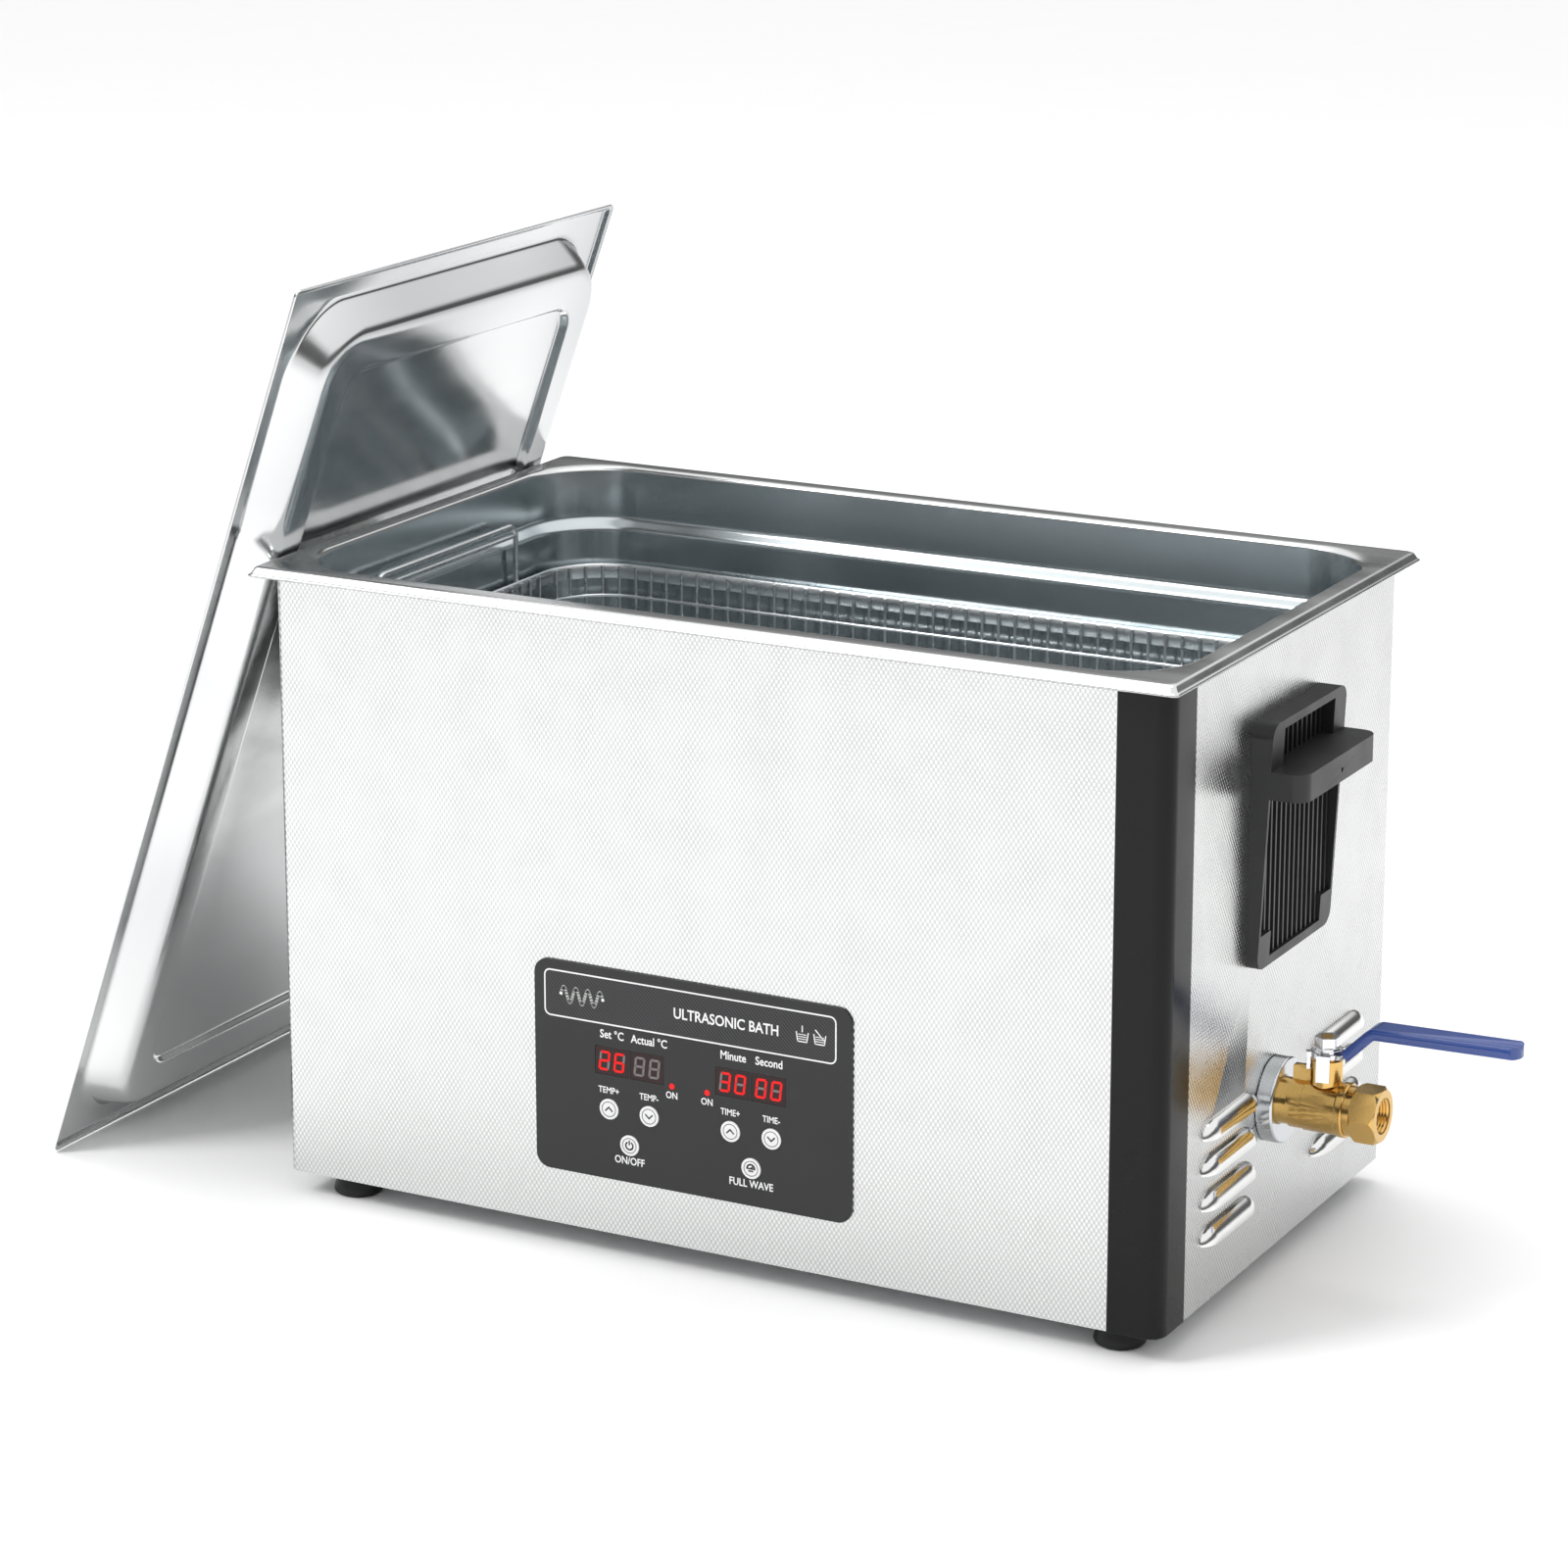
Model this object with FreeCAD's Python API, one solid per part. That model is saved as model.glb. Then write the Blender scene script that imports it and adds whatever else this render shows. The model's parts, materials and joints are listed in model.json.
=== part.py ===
"""Benchtop ultrasonic cleaner with a drain valve, a wire basket and a lid that leans on its left end.

Frame: millimetres, +Z up, the bench is z = 0 and the origin is on it under the middle of the machine.
The control panel faces -Y and the drain valve faces +X.
"""
import FreeCAD, Part
import math
import os

from FreeCAD import Matrix, Placement, Rotation, Vector

os.makedirs("parts", exist_ok=True)

# ---------------------------------------------------------------- driving dimensions
# sheet metal and the machine's outside
sheet = 1.0
machine_length = 513.0
machine_depth = 298.0
rim_length = 530.0
rim_depth = 325.0
rim_top = 351.0
foot_height = 14.0
bend_radius = 6.0
lip_height = 4.5
lip_slope_out = 2.0
lip_foot_out = 1.5
housing_top = rim_top - sheet - 0.4
half_length = machine_length / 2
half_depth = machine_depth / 2

# tank: a deep drawn pan with a stacking shoulder
opening_half_length = 251.0
opening_half_depth = 146.5
opening_corner = 46.0
tank_depth = 200.0
shoulder_top = rim_top - 30.0
shoulder_drop = 5.0
shoulder_step = 4.5
tank_taper = 4.0
tank_floor_corner = 12.0
tank_floor = rim_top - tank_depth

# lid: a flanged plate with a pressed plug, stored leaning on the rim's left edge
lid_length = rim_length
lid_width = rim_depth
lean_angle = 70.44
lid_foot_x = -406.35
lid_centre_y = 2.8
plug_foot_half_length = 250.0
plug_foot_half_width = 148.0
plug_face_inset = 11.0
plug_corner = 40.0
plug_height = 16.8
panel_half_length = 214.0
panel_half_width = 112.5
panel_corner = 14.0
panel_recess = 4.0
panel_wall_run = 3.0
lid_handle_span = 110.0
lid_handle_reach = 34.0
lid_handle_rod = 4.5
lid_handle_bend = 14.0

# basket
basket_half_length = 240.5
basket_half_depth = 137.0
basket_corner = 40.0
basket_rim_top = 297.0
basket_rim_band = 8.5
basket_rim_thick = 2.0
basket_floor = 187.0
wire_radius = 0.9
wire_pitch = 10.0
basket_rows = (279.0, 256.0, 233.0, 210.0)
bail_rod = 1.6
bail_half_span = 71.5
bail_top = 329.0
bail_foot = 268.0
bail_grip_drop = 6.0
bail_bend = 7.0
basket_foot_radius = 1.8
basket_foot_half_span = 45.0

# corner post
post_front_width = 28.3
post_side_width = 29.0
post_proud = 0.8
post_wall = 3.0
post_corner = 9.0

# control panel on the front
panel_left = -99.0
panel_right = 86.6
panel_low = 44.5
panel_high = 159.3
panel_round = 8.0
panel_thick = 1.4
display_width = 20.0
display_height = 15.3
display_low = 101.5
display_lefts = (-62.9, -42.1, 8.2, 29.1)
led_radius = 1.6
led_places = ((-17.4, 101.5), (3.3, 101.5))
key_radius = 5.6
key_gap = 0.3
key_travel = 0.5
key_proud = 0.25
key_places = {
    "key_temperature_up": (-54.8, 82.9),
    "key_temperature_down": (-30.9, 82.9),
    "key_time_up": (16.9, 82.9),
    "key_time_down": (40.7, 82.9),
    "key_power": (-42.7, 64.9),
    "key_full_wave": (28.9, 64.9),
}
board_gap = 8.0
board_thick = 1.6

# side handles
handle_half_width = 49.0
handle_low = 176.5
handle_high = 305.5
handle_depth_low = 6.0
handle_depth_high = 12.0
handle_round = 8.0
grip_low = 267.5
grip_high = 281.8
grip_reach = 29.5
rib_count = 15
rib_pitch = 6.2
rib_thick = 1.7
handle_screw_places = ((-41.0, 184.0), (41.0, 184.0), (-41.0, 296.0), (41.0, 296.0))

# drain valve, measured along its own axis from the right-hand wall
valve_y = -9.5
valve_z = 97.4
ring_radius = 22.5
ring_length = 9.0
pipe_radius = 10.2
port_radius = 7.5
body_radius = 13.6
stem_at = 29.6
ball_radius = 9.4
cavity_radius = 11.6
cavity_start = 17.0
body_end = 43.0
valve_length = 61.0
hex_flats = 27.0
mouth_radius = 9.5
mouth_depth = 12.5
neck_radius = 8.3
neck_top = 26.0
stem_radius = 4.0
running_clearance = 0.05
lever_plate_low = 27.6
lever_plate_thick = 2.5
lever_rise = 16.0
lever_bend_start = 10.2
lever_bend_end = 26.4
lever_tip = 104.0
lever_bend = 6.0
strip_width = 12.0
grip_width = 18.0
grip_thick = 6.0

# louvres pressed into both end walls
louvre_length = 66.0
louvre_height = 9.0
louvre_reach = 6.4
louvre_end = 13.0
louvre_skin = 0.9
louvre_pitch = 18.7
louvre_rows = 4
louvre_low = 46.5
louvre_starts = (-100.0, 46.6)

# feet
foot_x = 226.0
foot_y = 127.0
foot_radius = 13.5

# inside
transducer_columns = 5
transducer_rows = 2
transducer_pitch_x = 84.0
transducer_pitch_y = 120.0
fan_size = 80.0
fan_depth = 25.0
fan_x = -130.0
fan_z = 72.0
inlet_x = 150.0
inlet_z = 60.0
rocker_x = 196.0
fuse_x = 105.0


# ---------------------------------------------------------------- shape helpers
def write(node, shape):
    """Write one node, which is one solid or a group of separate solids."""
    shape.exportStep("parts/" + node + ".step")


def box(x_low, x_high, y_low, y_high, z_low, z_high):
    """A box between two corners."""
    corner = Vector(x_low, y_low, z_low)
    return Part.makeBox(x_high - x_low, y_high - y_low, z_high - z_low, corner)


def rod(radius, start, end):
    """A round bar between two points."""
    start = Vector(*start)
    run = Vector(*end) - start
    return Part.makeCylinder(radius, run.Length, start, run)


def tube(outer, inner, start, end):
    """A round tube between two points."""
    return rod(outer, start, end).cut(rod(inner, start, end))


def fuse(shapes):
    """One clean shape from overlapping ones."""
    joined = shapes[0].multiFuse(shapes[1:])
    return joined.removeSplitter()


def rounded_loop(half_x, half_y, radius, z):
    """A closed loop: a rectangle about the Z axis with rounded corners."""
    inner_x = half_x - radius
    inner_y = half_y - radius
    edges = []
    for quarter in range(4):
        turn = quarter * 90.0
        across = quarter % 2 == 1
        reach_x = inner_x if quarter in (0, 3) else -inner_x
        reach_y = inner_y if quarter in (0, 1) else -inner_y
        centre = Vector(reach_x, reach_y, z)
        circle = Part.Circle(centre, Vector(0, 0, 1), radius)
        arc = Part.Arc(circle, math.radians(turn), math.radians(turn + 90.0))
        edges.append(arc.toShape())
        length = 2 * inner_x if not across else 2 * inner_y
        heading = Vector(-1, 0, 0) if quarter == 0 else Vector(0, -1, 0)
        if quarter == 2:
            heading = Vector(1, 0, 0)
        if quarter == 3:
            heading = Vector(0, 1, 0)
        start = edges[-1].lastVertex().Point
        edges.append(Part.makeLine(start, start + heading * length))
    return Part.Wire(edges)


def slab(half_x, half_y, radius, z_low, z_high):
    """An upright block with rounded corners."""
    face = Part.Face(rounded_loop(half_x, half_y, radius, z_low))
    return face.extrude(Vector(0, 0, z_high - z_low))


def taper(low, high):
    """A solid between two rounded loops, each given as (half_x, half_y, radius, z)."""
    return Part.makeLoft([rounded_loop(*low), rounded_loop(*high)], True, True)


def turned(profile, base, along):
    """A solid of revolution from (distance along the axis, radius) points."""
    points = [Vector(radius, 0, distance) for distance, radius in profile]
    points.append(points[0])
    face = Part.Face(Part.makePolygon(points))
    solid = face.revolve(Vector(0, 0, 0), Vector(0, 0, 1), 360)
    solid.Placement = Placement(Vector(*base), Rotation(Vector(0, 0, 1), Vector(*along)))
    return solid


def prism_along_y(points, y_low, y_high):
    """A solid with the given (x, z) outline, between two values of y."""
    corners = [Vector(x, y_low, z) for x, z in points]
    corners.append(corners[0])
    return Part.Face(Part.makePolygon(corners)).extrude(Vector(0, y_high - y_low, 0))


def hexagon(flats, z_low, z_high):
    """A hexagonal bar about the Z axis."""
    corner = flats / math.sqrt(3)
    points = []
    for side in range(7):
        turn = math.radians(60 * side + 30)
        points.append(Vector(corner * math.cos(turn), corner * math.sin(turn), z_low))
    return Part.Face(Part.makePolygon(points)).extrude(Vector(0, 0, z_high - z_low))


def bent_path(points, bend):
    """A wire through the points, with an arc of the given radius at each inner one."""
    points = [Vector(*point) for point in points]
    edges = []
    start = points[0]
    for index in range(1, len(points) - 1):
        corner = points[index]
        arriving = (corner - points[index - 1]).normalize()
        leaving = (points[index + 1] - corner).normalize()
        half_turn = arriving.getAngle(leaving) / 2
        back = bend * math.tan(half_turn)
        first = corner - arriving * back
        last = corner + leaving * back
        inward = (leaving - arriving).normalize()
        centre = corner + inward * (bend / math.cos(half_turn))
        middle = centre - inward * bend
        edges.append(Part.makeLine(start, first))
        edges.append(Part.Arc(first, middle, last).toShape())
        start = last
    edges.append(Part.makeLine(start, points[-1]))
    return Part.Wire(edges)


def bent_rod(points, bend, radius):
    """A round rod along a bent path."""
    heading = Vector(*points[1]) - Vector(*points[0])
    section = Part.Wire(Part.makeCircle(radius, Vector(*points[0]), heading))
    return bent_path(points, bend).makePipeShell([section], True, False)


def bent_strip(points, bend, thick, width, corner):
    """A flat bar with rounded edges along a path that bends in an upright plane of constant y."""
    section = rounded_loop(thick / 2, width / 2, corner, 0)
    heading = Vector(*points[1]) - Vector(*points[0])
    lean = math.degrees(math.atan2(heading.z, heading.x))
    section.rotate(Vector(0, 0, 0), Vector(0, 1, 0), 90 - lean)
    section.translate(Vector(*points[0]))
    return bent_path(points, bend).makePipeShell([section], True, False)


def both_ends(shape):
    """The shape and its mirror image in the plane x = 0."""
    return [shape, shape.mirror(Vector(0, 0, 0), Vector(1, 0, 0))]


# ---------------------------------------------------------------- housing
def louvre_capsule(radius):
    """A round-ended bar of the hood's proportions, before it is stretched to size."""
    middle = (louvre_length - 2 * louvre_end) / louvre_end
    near_end = Part.makeSphere(radius, Vector(0, 0, 0))
    far_end = Part.makeSphere(radius, Vector(0, middle, 0))
    bar = Part.makeCylinder(radius, middle, Vector(0, 0, 0), Vector(0, 1, 0))
    return bar.fuse([near_end, far_end])


def louvre_shell():
    """The skin of one pressed hood on the plane x = 0, open downwards, with rounded ends."""
    inner = louvre_capsule(1.0 - louvre_skin / louvre_reach)
    quarter = Part.makeBox(2, louvre_length, 2, Vector(0, -2, 0))
    skin = louvre_capsule(1.0).cut(inner).common(quarter)
    stretch = Matrix()
    stretch.scale(Vector(louvre_reach, louvre_end, louvre_height))
    skin = skin.transformGeometry(stretch)
    skin.translate(Vector(0, louvre_end, 0))
    return skin


def louvre_places():
    """The lower near corner of each hood on the right-hand wall, as (y, z)."""
    places = []
    for start in louvre_starts:
        for row in range(louvre_rows):
            places.append((start, louvre_low + row * louvre_pitch))
    return places


def housing_wrap():
    """One sheet bent round the right end, the back, the left end and the front."""
    outer = slab(half_length, half_depth, bend_radius, foot_height, housing_top)
    inner = slab(half_length - sheet, half_depth - sheet, bend_radius - sheet, foot_height, housing_top)
    wrap = outer.cut(inner)
    cuts = [box(half_length - post_front_width, half_length + 1, -half_depth - 1,
                -half_depth + post_side_width, 0, rim_top)]
    cuts.append(box(-88, 76, -half_depth - 1, -half_depth + 2, 52, 124))
    cuts.append(rod(pipe_radius + 0.4, (half_length - 3, valve_y, valve_z), (half_length + 3, valve_y, valve_z)))
    cuts.append(rod(fan_size / 2 - 3, (fan_x, half_depth - 3, fan_z), (fan_x, half_depth + 3, fan_z)))
    for x_side in (-1, 1):
        for z_side in (-1, 1):
            x = fan_x + x_side * 35.75
            z = fan_z + z_side * 35.75
            cuts.append(rod(2.2, (x, half_depth - 3, z), (x, half_depth + 3, z)))
    cuts.append(box(inlet_x - 13.9, inlet_x + 13.9, half_depth - 3, half_depth + 3, inlet_z - 10.4, inlet_z + 10.4))
    cuts.append(box(rocker_x - 6.6, rocker_x + 6.6, half_depth - 3, half_depth + 3, inlet_z - 9.9, inlet_z + 9.9))
    cuts.append(rod(6.4, (fuse_x, half_depth - 3, inlet_z), (fuse_x, half_depth + 3, inlet_z)))
    for y, z in handle_screw_places:
        cuts += both_ends(rod(2.1, (half_length - 3, y, z), (half_length + 3, y, z)))
    slot_back = 4.0
    for y, z in louvre_places():
        slot = box(half_length - slot_back, half_length + 1, y + 3, y + louvre_length - 3, z, z + 3.5)
        cuts += both_ends(slot)
    wrap = wrap.cut(cuts)
    hoods = []
    shell = louvre_shell()
    for y, z in louvre_places():
        hood = shell.copy()
        hood.translate(Vector(half_length - 0.4, y, z))
        hoods += both_ends(hood)
    return fuse([wrap] + hoods)


def corner_post():
    """The moulded post that closes the sheet's two edges at the front right corner."""
    outer_x = half_length + post_proud
    outer_y = -half_depth - post_proud
    low_x = half_length - post_front_width
    high_y = -half_depth + post_side_width
    outer = box(low_x, outer_x, outer_y, high_y, foot_height, housing_top)
    inner = box(low_x - 1, outer_x - post_wall, outer_y + post_wall, high_y + 1, foot_height, housing_top)
    post = outer.cut(inner)
    tall = [edge for edge in post.Edges if edge.Length > 300]
    corner = [edge for edge in tall if edge.BoundBox.XMin > outer_x - 0.01 and edge.BoundBox.YMax < outer_y + 0.01]
    post = post.makeFillet(post_corner, corner)
    ledge = 1.5
    inner_face = sheet + 0.3
    front_ledge = box(low_x - 9, low_x + ledge, -half_depth + inner_face, -half_depth + inner_face + 2,
                      foot_height + 3, housing_top - 3)
    side_ledge = box(half_length - inner_face - 2, half_length - inner_face, high_y - ledge, high_y + 9,
                     foot_height + 3, housing_top - 3)
    return fuse([post, front_ledge, side_ledge])


def base_plate():
    """The bottom tray, with turned-up edges, foot holes and vent slots."""
    gap = sheet + 0.4
    edge_height = 12.0
    low = foot_height + 0.6
    outer = slab(half_length - gap, half_depth - gap, 5.0, low, low + edge_height)
    inner = slab(half_length - gap - sheet, half_depth - gap - sheet, 4.0, low + sheet, low + edge_height + 1)
    plate = outer.cut(inner)
    post_room = box(half_length - post_front_width - 10, half_length, -half_depth, -half_depth + post_side_width + 10,
                    low + sheet, low + edge_height + 1)
    corner_room = box(half_length - post_wall - 1.5, half_length, -half_depth, -half_depth + post_side_width + 10,
                      low - 1, low + edge_height + 1)
    front_room = box(half_length - post_front_width - 10, half_length, -half_depth, -half_depth + post_wall + 1.5,
                     low - 1, low + edge_height + 1)
    cuts = [post_room, corner_room, front_room]
    for x_side in (-1, 1):
        for y_side in (-1, 1):
            x = x_side * foot_x
            y = y_side * foot_y
            cuts.append(rod(2.7, (x, y, low - 1), (x, y, low + 3)))
    for column in range(9):
        x = -120 + column * 30
        cuts.append(box(x - 2, x + 2, -45, 45, low - 1, low + 3))
    return plate.cut(cuts)


def rubber_feet():
    """Four turned rubber feet."""
    profile = [(0, 0), (0, foot_radius - 1.8), (1.2, foot_radius - 0.4), (2.6, foot_radius),
               (5.0, foot_radius - 0.6), (13.6, foot_radius - 2.6), (foot_height + 0.5, foot_radius - 2.6),
               (foot_height + 0.5, 2.7), (5.0, 2.7), (5.0, 5.2), (2.2, 5.2), (2.2, 0)]
    feet = []
    for x_side in (-1, 1):
        for y_side in (-1, 1):
            feet.append(turned(profile, (x_side * foot_x, y_side * foot_y, 0), (0, 0, 1)))
    return Part.makeCompound(feet)


def foot_screws():
    """A pan-head screw and nut in each foot."""
    screws = []
    for x_side in (-1, 1):
        for y_side in (-1, 1):
            x = x_side * foot_x
            y = y_side * foot_y
            head = rod(4.6, (x, y, 2.3), (x, y, 4.9))
            shank = rod(2.4, (x, y, 4.0), (x, y, 24.0))
            nut = hexagon(8.0, 15.8, 19.5)
            nut.translate(Vector(x, y, 0))
            screws.append(fuse([head, shank, nut]))
    return Part.makeCompound(screws)


# ---------------------------------------------------------------- tank
def pan(grow):
    """The tank's inside as a solid, grown outwards by the sheet for its outside."""
    top_z = rim_top
    x = opening_half_length + grow
    y = opening_half_depth + grow
    corner = opening_corner + grow
    low_corner = corner - shoulder_step
    upper = taper((x, y, corner, shoulder_top - grow * 0.5), (x, y, corner, top_z))
    step_x = x - shoulder_step
    step_y = y - shoulder_step
    shoulder_low = shoulder_top - shoulder_drop
    shoulder = taper((step_x, step_y, low_corner, shoulder_low - grow * 0.5), (x, y, corner, shoulder_top - grow * 0.5))
    floor_z = tank_floor - grow
    lower = taper((step_x - tank_taper, step_y - tank_taper, low_corner - tank_taper, floor_z),
                  (step_x, step_y, low_corner, shoulder_low - grow * 0.5))
    whole = fuse([upper, shoulder, lower])
    floor_edges = [edge for edge in whole.Edges if edge.BoundBox.ZMax < floor_z + 0.01]
    return whole.makeFillet(tank_floor_corner + grow, floor_edges)


def rim_skirt(thick, z_top):
    """The flange's turned-down edge, as a solid shrunk by the sheet thickness for its inside."""
    edge_x = rim_length / 2 - lip_slope_out - lip_foot_out - thick
    edge_y = rim_depth / 2 - lip_slope_out - lip_foot_out - thick
    corner = 2.5
    drop = lip_height - 1.0
    return taper((edge_x + lip_slope_out, edge_y + lip_slope_out, corner + 0.5, z_top - drop),
                 (edge_x, edge_y, corner, z_top))


def turned_edge(z_top, opening):
    """A flat flange with a sloping lip and a small flared foot all round, and an opening in it."""
    drop = lip_height - 1.0
    outer = rim_skirt(0.0, z_top)
    inner = rim_skirt(sheet, z_top)
    inner.translate(Vector(0, 0, -sheet))
    foot_x_half = rim_length / 2 - lip_foot_out
    foot_y_half = rim_depth / 2 - lip_foot_out
    foot = taper((rim_length / 2, rim_depth / 2, 4.0, z_top - lip_height), (foot_x_half, foot_y_half, 3.0, z_top - drop))
    foot_hole = slab(foot_x_half - sheet, foot_y_half - sheet, 2.0, z_top - lip_height - 1, z_top - drop)
    skirt = outer.cut(inner)
    return fuse([skirt, foot.cut(foot_hole)]).cut(opening)


def tank():
    """The whole pan with its rim."""
    opening = slab(opening_half_length, opening_half_depth, opening_corner, rim_top - 10, rim_top + 1)
    rim = turned_edge(rim_top, opening)
    shell = pan(sheet).cut(pan(0.0))
    outlet = rod(port_radius + 0.5, (200, valve_y, tank_floor - 5), (200, valve_y, tank_floor + 5))
    return fuse([rim, shell]).cut(outlet)


def tank_brackets():
    """Four angle brackets that carry the pan on the housing's long walls."""
    brackets = []
    for x in (-150.0, 150.0):
        for y_side in (-1, 1):
            wall = half_depth - sheet
            upright = box(x - 15, x + 15, wall - 1.5, wall, 172, 212)
            brace = box(x - 15, x + 15, wall - 8.1, wall - 1.5, 172, 173.5)
            bracket = fuse([upright, brace])
            if y_side < 0:
                bracket = bracket.mirror(Vector(0, 0, 0), Vector(0, 1, 0))
            brackets.append(bracket)
    return Part.makeCompound(brackets)


# ---------------------------------------------------------------- lid, drawn flat and then leaned
def lid_place(shape):
    """Turn a shape from the lid's own axes (length, width, inward) to where the lid leans."""
    turn = math.radians(lean_angle)
    up_the_lid = Vector(math.cos(turn), 0, math.sin(turn))
    across = Vector(0, -1, 0)
    inward = up_the_lid.cross(across)
    middle = up_the_lid * (lid_length / 2) + Vector(lid_foot_x, lid_centre_y, 0)
    spin = Rotation(up_the_lid, across, inward, "ZXY")
    shape.Placement = Placement(middle, spin).multiply(shape.Placement)
    return shape


def lid_plug(grow):
    """The pressed plug with its shallow panel, as a solid above the flange plane."""
    base = -lip_height
    top = plug_height - grow
    foot_x_half = plug_foot_half_length - grow
    foot_y_half = plug_foot_half_width - grow
    face_x = foot_x_half - plug_face_inset
    face_y = foot_y_half - plug_face_inset
    plug = taper((foot_x_half, foot_y_half, plug_corner, base), (face_x, face_y, plug_corner - plug_face_inset, top))
    top_edges = [edge for edge in plug.Edges if edge.BoundBox.ZMin > top - 0.01]
    plug = plug.makeFillet(5.0 - grow, top_edges)
    low_x = panel_half_length - panel_wall_run + grow
    low_y = panel_half_width - panel_wall_run + grow
    pressed = taper((low_x, low_y, panel_corner - panel_wall_run + grow, top - panel_recess),
                    (low_x + panel_wall_run, low_y + panel_wall_run, panel_corner + grow, top))
    return plug.cut(pressed)


def lid():
    """The lid's single pressed sheet: turned edge, flange and hollow plug."""
    hole = slab(plug_foot_half_length - sheet, plug_foot_half_width - sheet, plug_corner - sheet, -6, 6)
    edge = turned_edge(0.0, hole)
    edge = edge.mirror(Vector(0, 0, 0), Vector(0, 0, 1))
    edge.translate(Vector(0, 0, -lip_height))
    shell = lid_plug(0.0).cut(lid_plug(sheet))
    return lid_place(fuse([edge, shell]))


def lid_handle():
    """The bail welded to the outside of the lid's panel."""
    foot = plug_height - sheet - panel_recess - 2.0
    top = foot - lid_handle_reach
    half = lid_handle_span / 2
    points = [(0, -half, foot), (0, -half, top), (0, half, top), (0, half, foot)]
    return lid_place(bent_rod(points, lid_handle_bend, lid_handle_rod))


def lid_handle_pads():
    """The two weld pads under the lid handle."""
    pads = []
    for side in (-1, 1):
        y = side * lid_handle_span / 2
        low = plug_height - sheet - panel_recess - 2.0
        pads.append(lid_place(rod(12.0, (0, y, low), (0, y, low + 2.0))))
    return Part.makeCompound(pads)


# ---------------------------------------------------------------- basket
def basket_rim():
    """The flat band round the top of the basket: four straight runs and twelve short bends."""
    inner_corner = basket_corner - basket_rim_thick
    low = basket_rim_top - basket_rim_band
    outer = slab(basket_half_length, basket_half_depth, basket_corner, low, basket_rim_top)
    inner = slab(basket_half_length - basket_rim_thick, basket_half_depth - basket_rim_thick, inner_corner,
                 low - 1, basket_rim_top + 1)
    band = outer.cut(inner)
    run_x = basket_half_length - basket_corner
    run_y = basket_half_depth - basket_corner
    pieces = []
    for side in (-1, 1):
        along = box(-run_x, run_x, min(0, side * 200), max(0, side * 200), low - 1, basket_rim_top + 1)
        pieces.append(band.common(along))
        across = box(min(0, side * 300), max(0, side * 300), -run_y, run_y, low - 1, basket_rim_top + 1)
        pieces.append(band.common(across))
    for step in range(3):
        base = Vector(run_x, run_y, low - 1)
        wedge = Part.makeCylinder(60, basket_rim_band + 2, base, Vector(0, 0, 1), 30)
        wedge.rotate(base, Vector(0, 0, 1), 30 * step)
        for piece in both_ends(band.common(wedge)):
            pieces.append(piece)
            pieces.append(piece.mirror(Vector(0, 0, 0), Vector(0, 1, 0)))
    return Part.makeCompound(pieces)


def wire_line():
    """Half the length, half the depth and the corner radius of the upright wires' ring."""
    inward = basket_rim_thick + wire_radius
    return basket_half_length - inward, basket_half_depth - inward, basket_corner - inward


def wire_steps(half_run):
    """Evenly spaced wire positions, a whole pitch apart, centred on 0."""
    count = int(half_run // wire_pitch)
    return [step * wire_pitch for step in range(-count, count + 1)]


def basket_wall(along_x):
    """One straight wall of welded wire: uprights, and cross wires just inside them."""
    ring_x, ring_y, corner = wire_line()
    inset = 1.6 * wire_radius
    wires = []
    if along_x:
        half_run = ring_x - corner
        for x in wire_steps(half_run):
            wires.append(rod(wire_radius, (x, ring_y, basket_floor), (x, ring_y, basket_rim_top - 1)))
        for z in basket_rows:
            wires.append(rod(wire_radius, (-half_run, ring_y - inset, z), (half_run, ring_y - inset, z)))
    else:
        half_run = ring_y - corner
        for y in wire_steps(half_run):
            wires.append(rod(wire_radius, (ring_x, y, basket_floor), (ring_x, y, basket_rim_top - 1)))
        for z in basket_rows:
            wires.append(rod(wire_radius, (ring_x - inset, -half_run, z), (ring_x - inset, half_run, z)))
    return wires[0].multiFuse(wires[1:])


def basket_corners():
    """The four rounded corners: each upright on the arc, with its share of the curved cross wires."""
    ring_x, ring_y, corner = wire_line()
    inset = 1.6 * wire_radius
    centre = Vector(ring_x - corner, ring_y - corner, 0)
    cuts = (0, 22.5, 37.5, 52.5, 67.5, 90)
    pieces = []
    for step in range(5):
        turn = math.radians(15 + step * 15)
        x = centre.x + corner * math.cos(turn)
        y = centre.y + corner * math.sin(turn)
        upright = rod(wire_radius, (x, y, basket_floor), (x, y, basket_rim_top - 1))
        arcs = []
        for z in basket_rows:
            middle = Vector(centre.x, centre.y, z)
            run = cuts[step + 1] - cuts[step]
            arc = Part.makeTorus(corner - inset, wire_radius, middle, Vector(0, 0, 1), 0, 360, run)
            arc.rotate(middle, Vector(0, 0, 1), cuts[step])
            arcs.append(arc)
        for piece in both_ends(upright.multiFuse(arcs)):
            pieces.append(piece)
            pieces.append(piece.mirror(Vector(0, 0, 0), Vector(0, 1, 0)))
    return Part.makeCompound(pieces)


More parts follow.
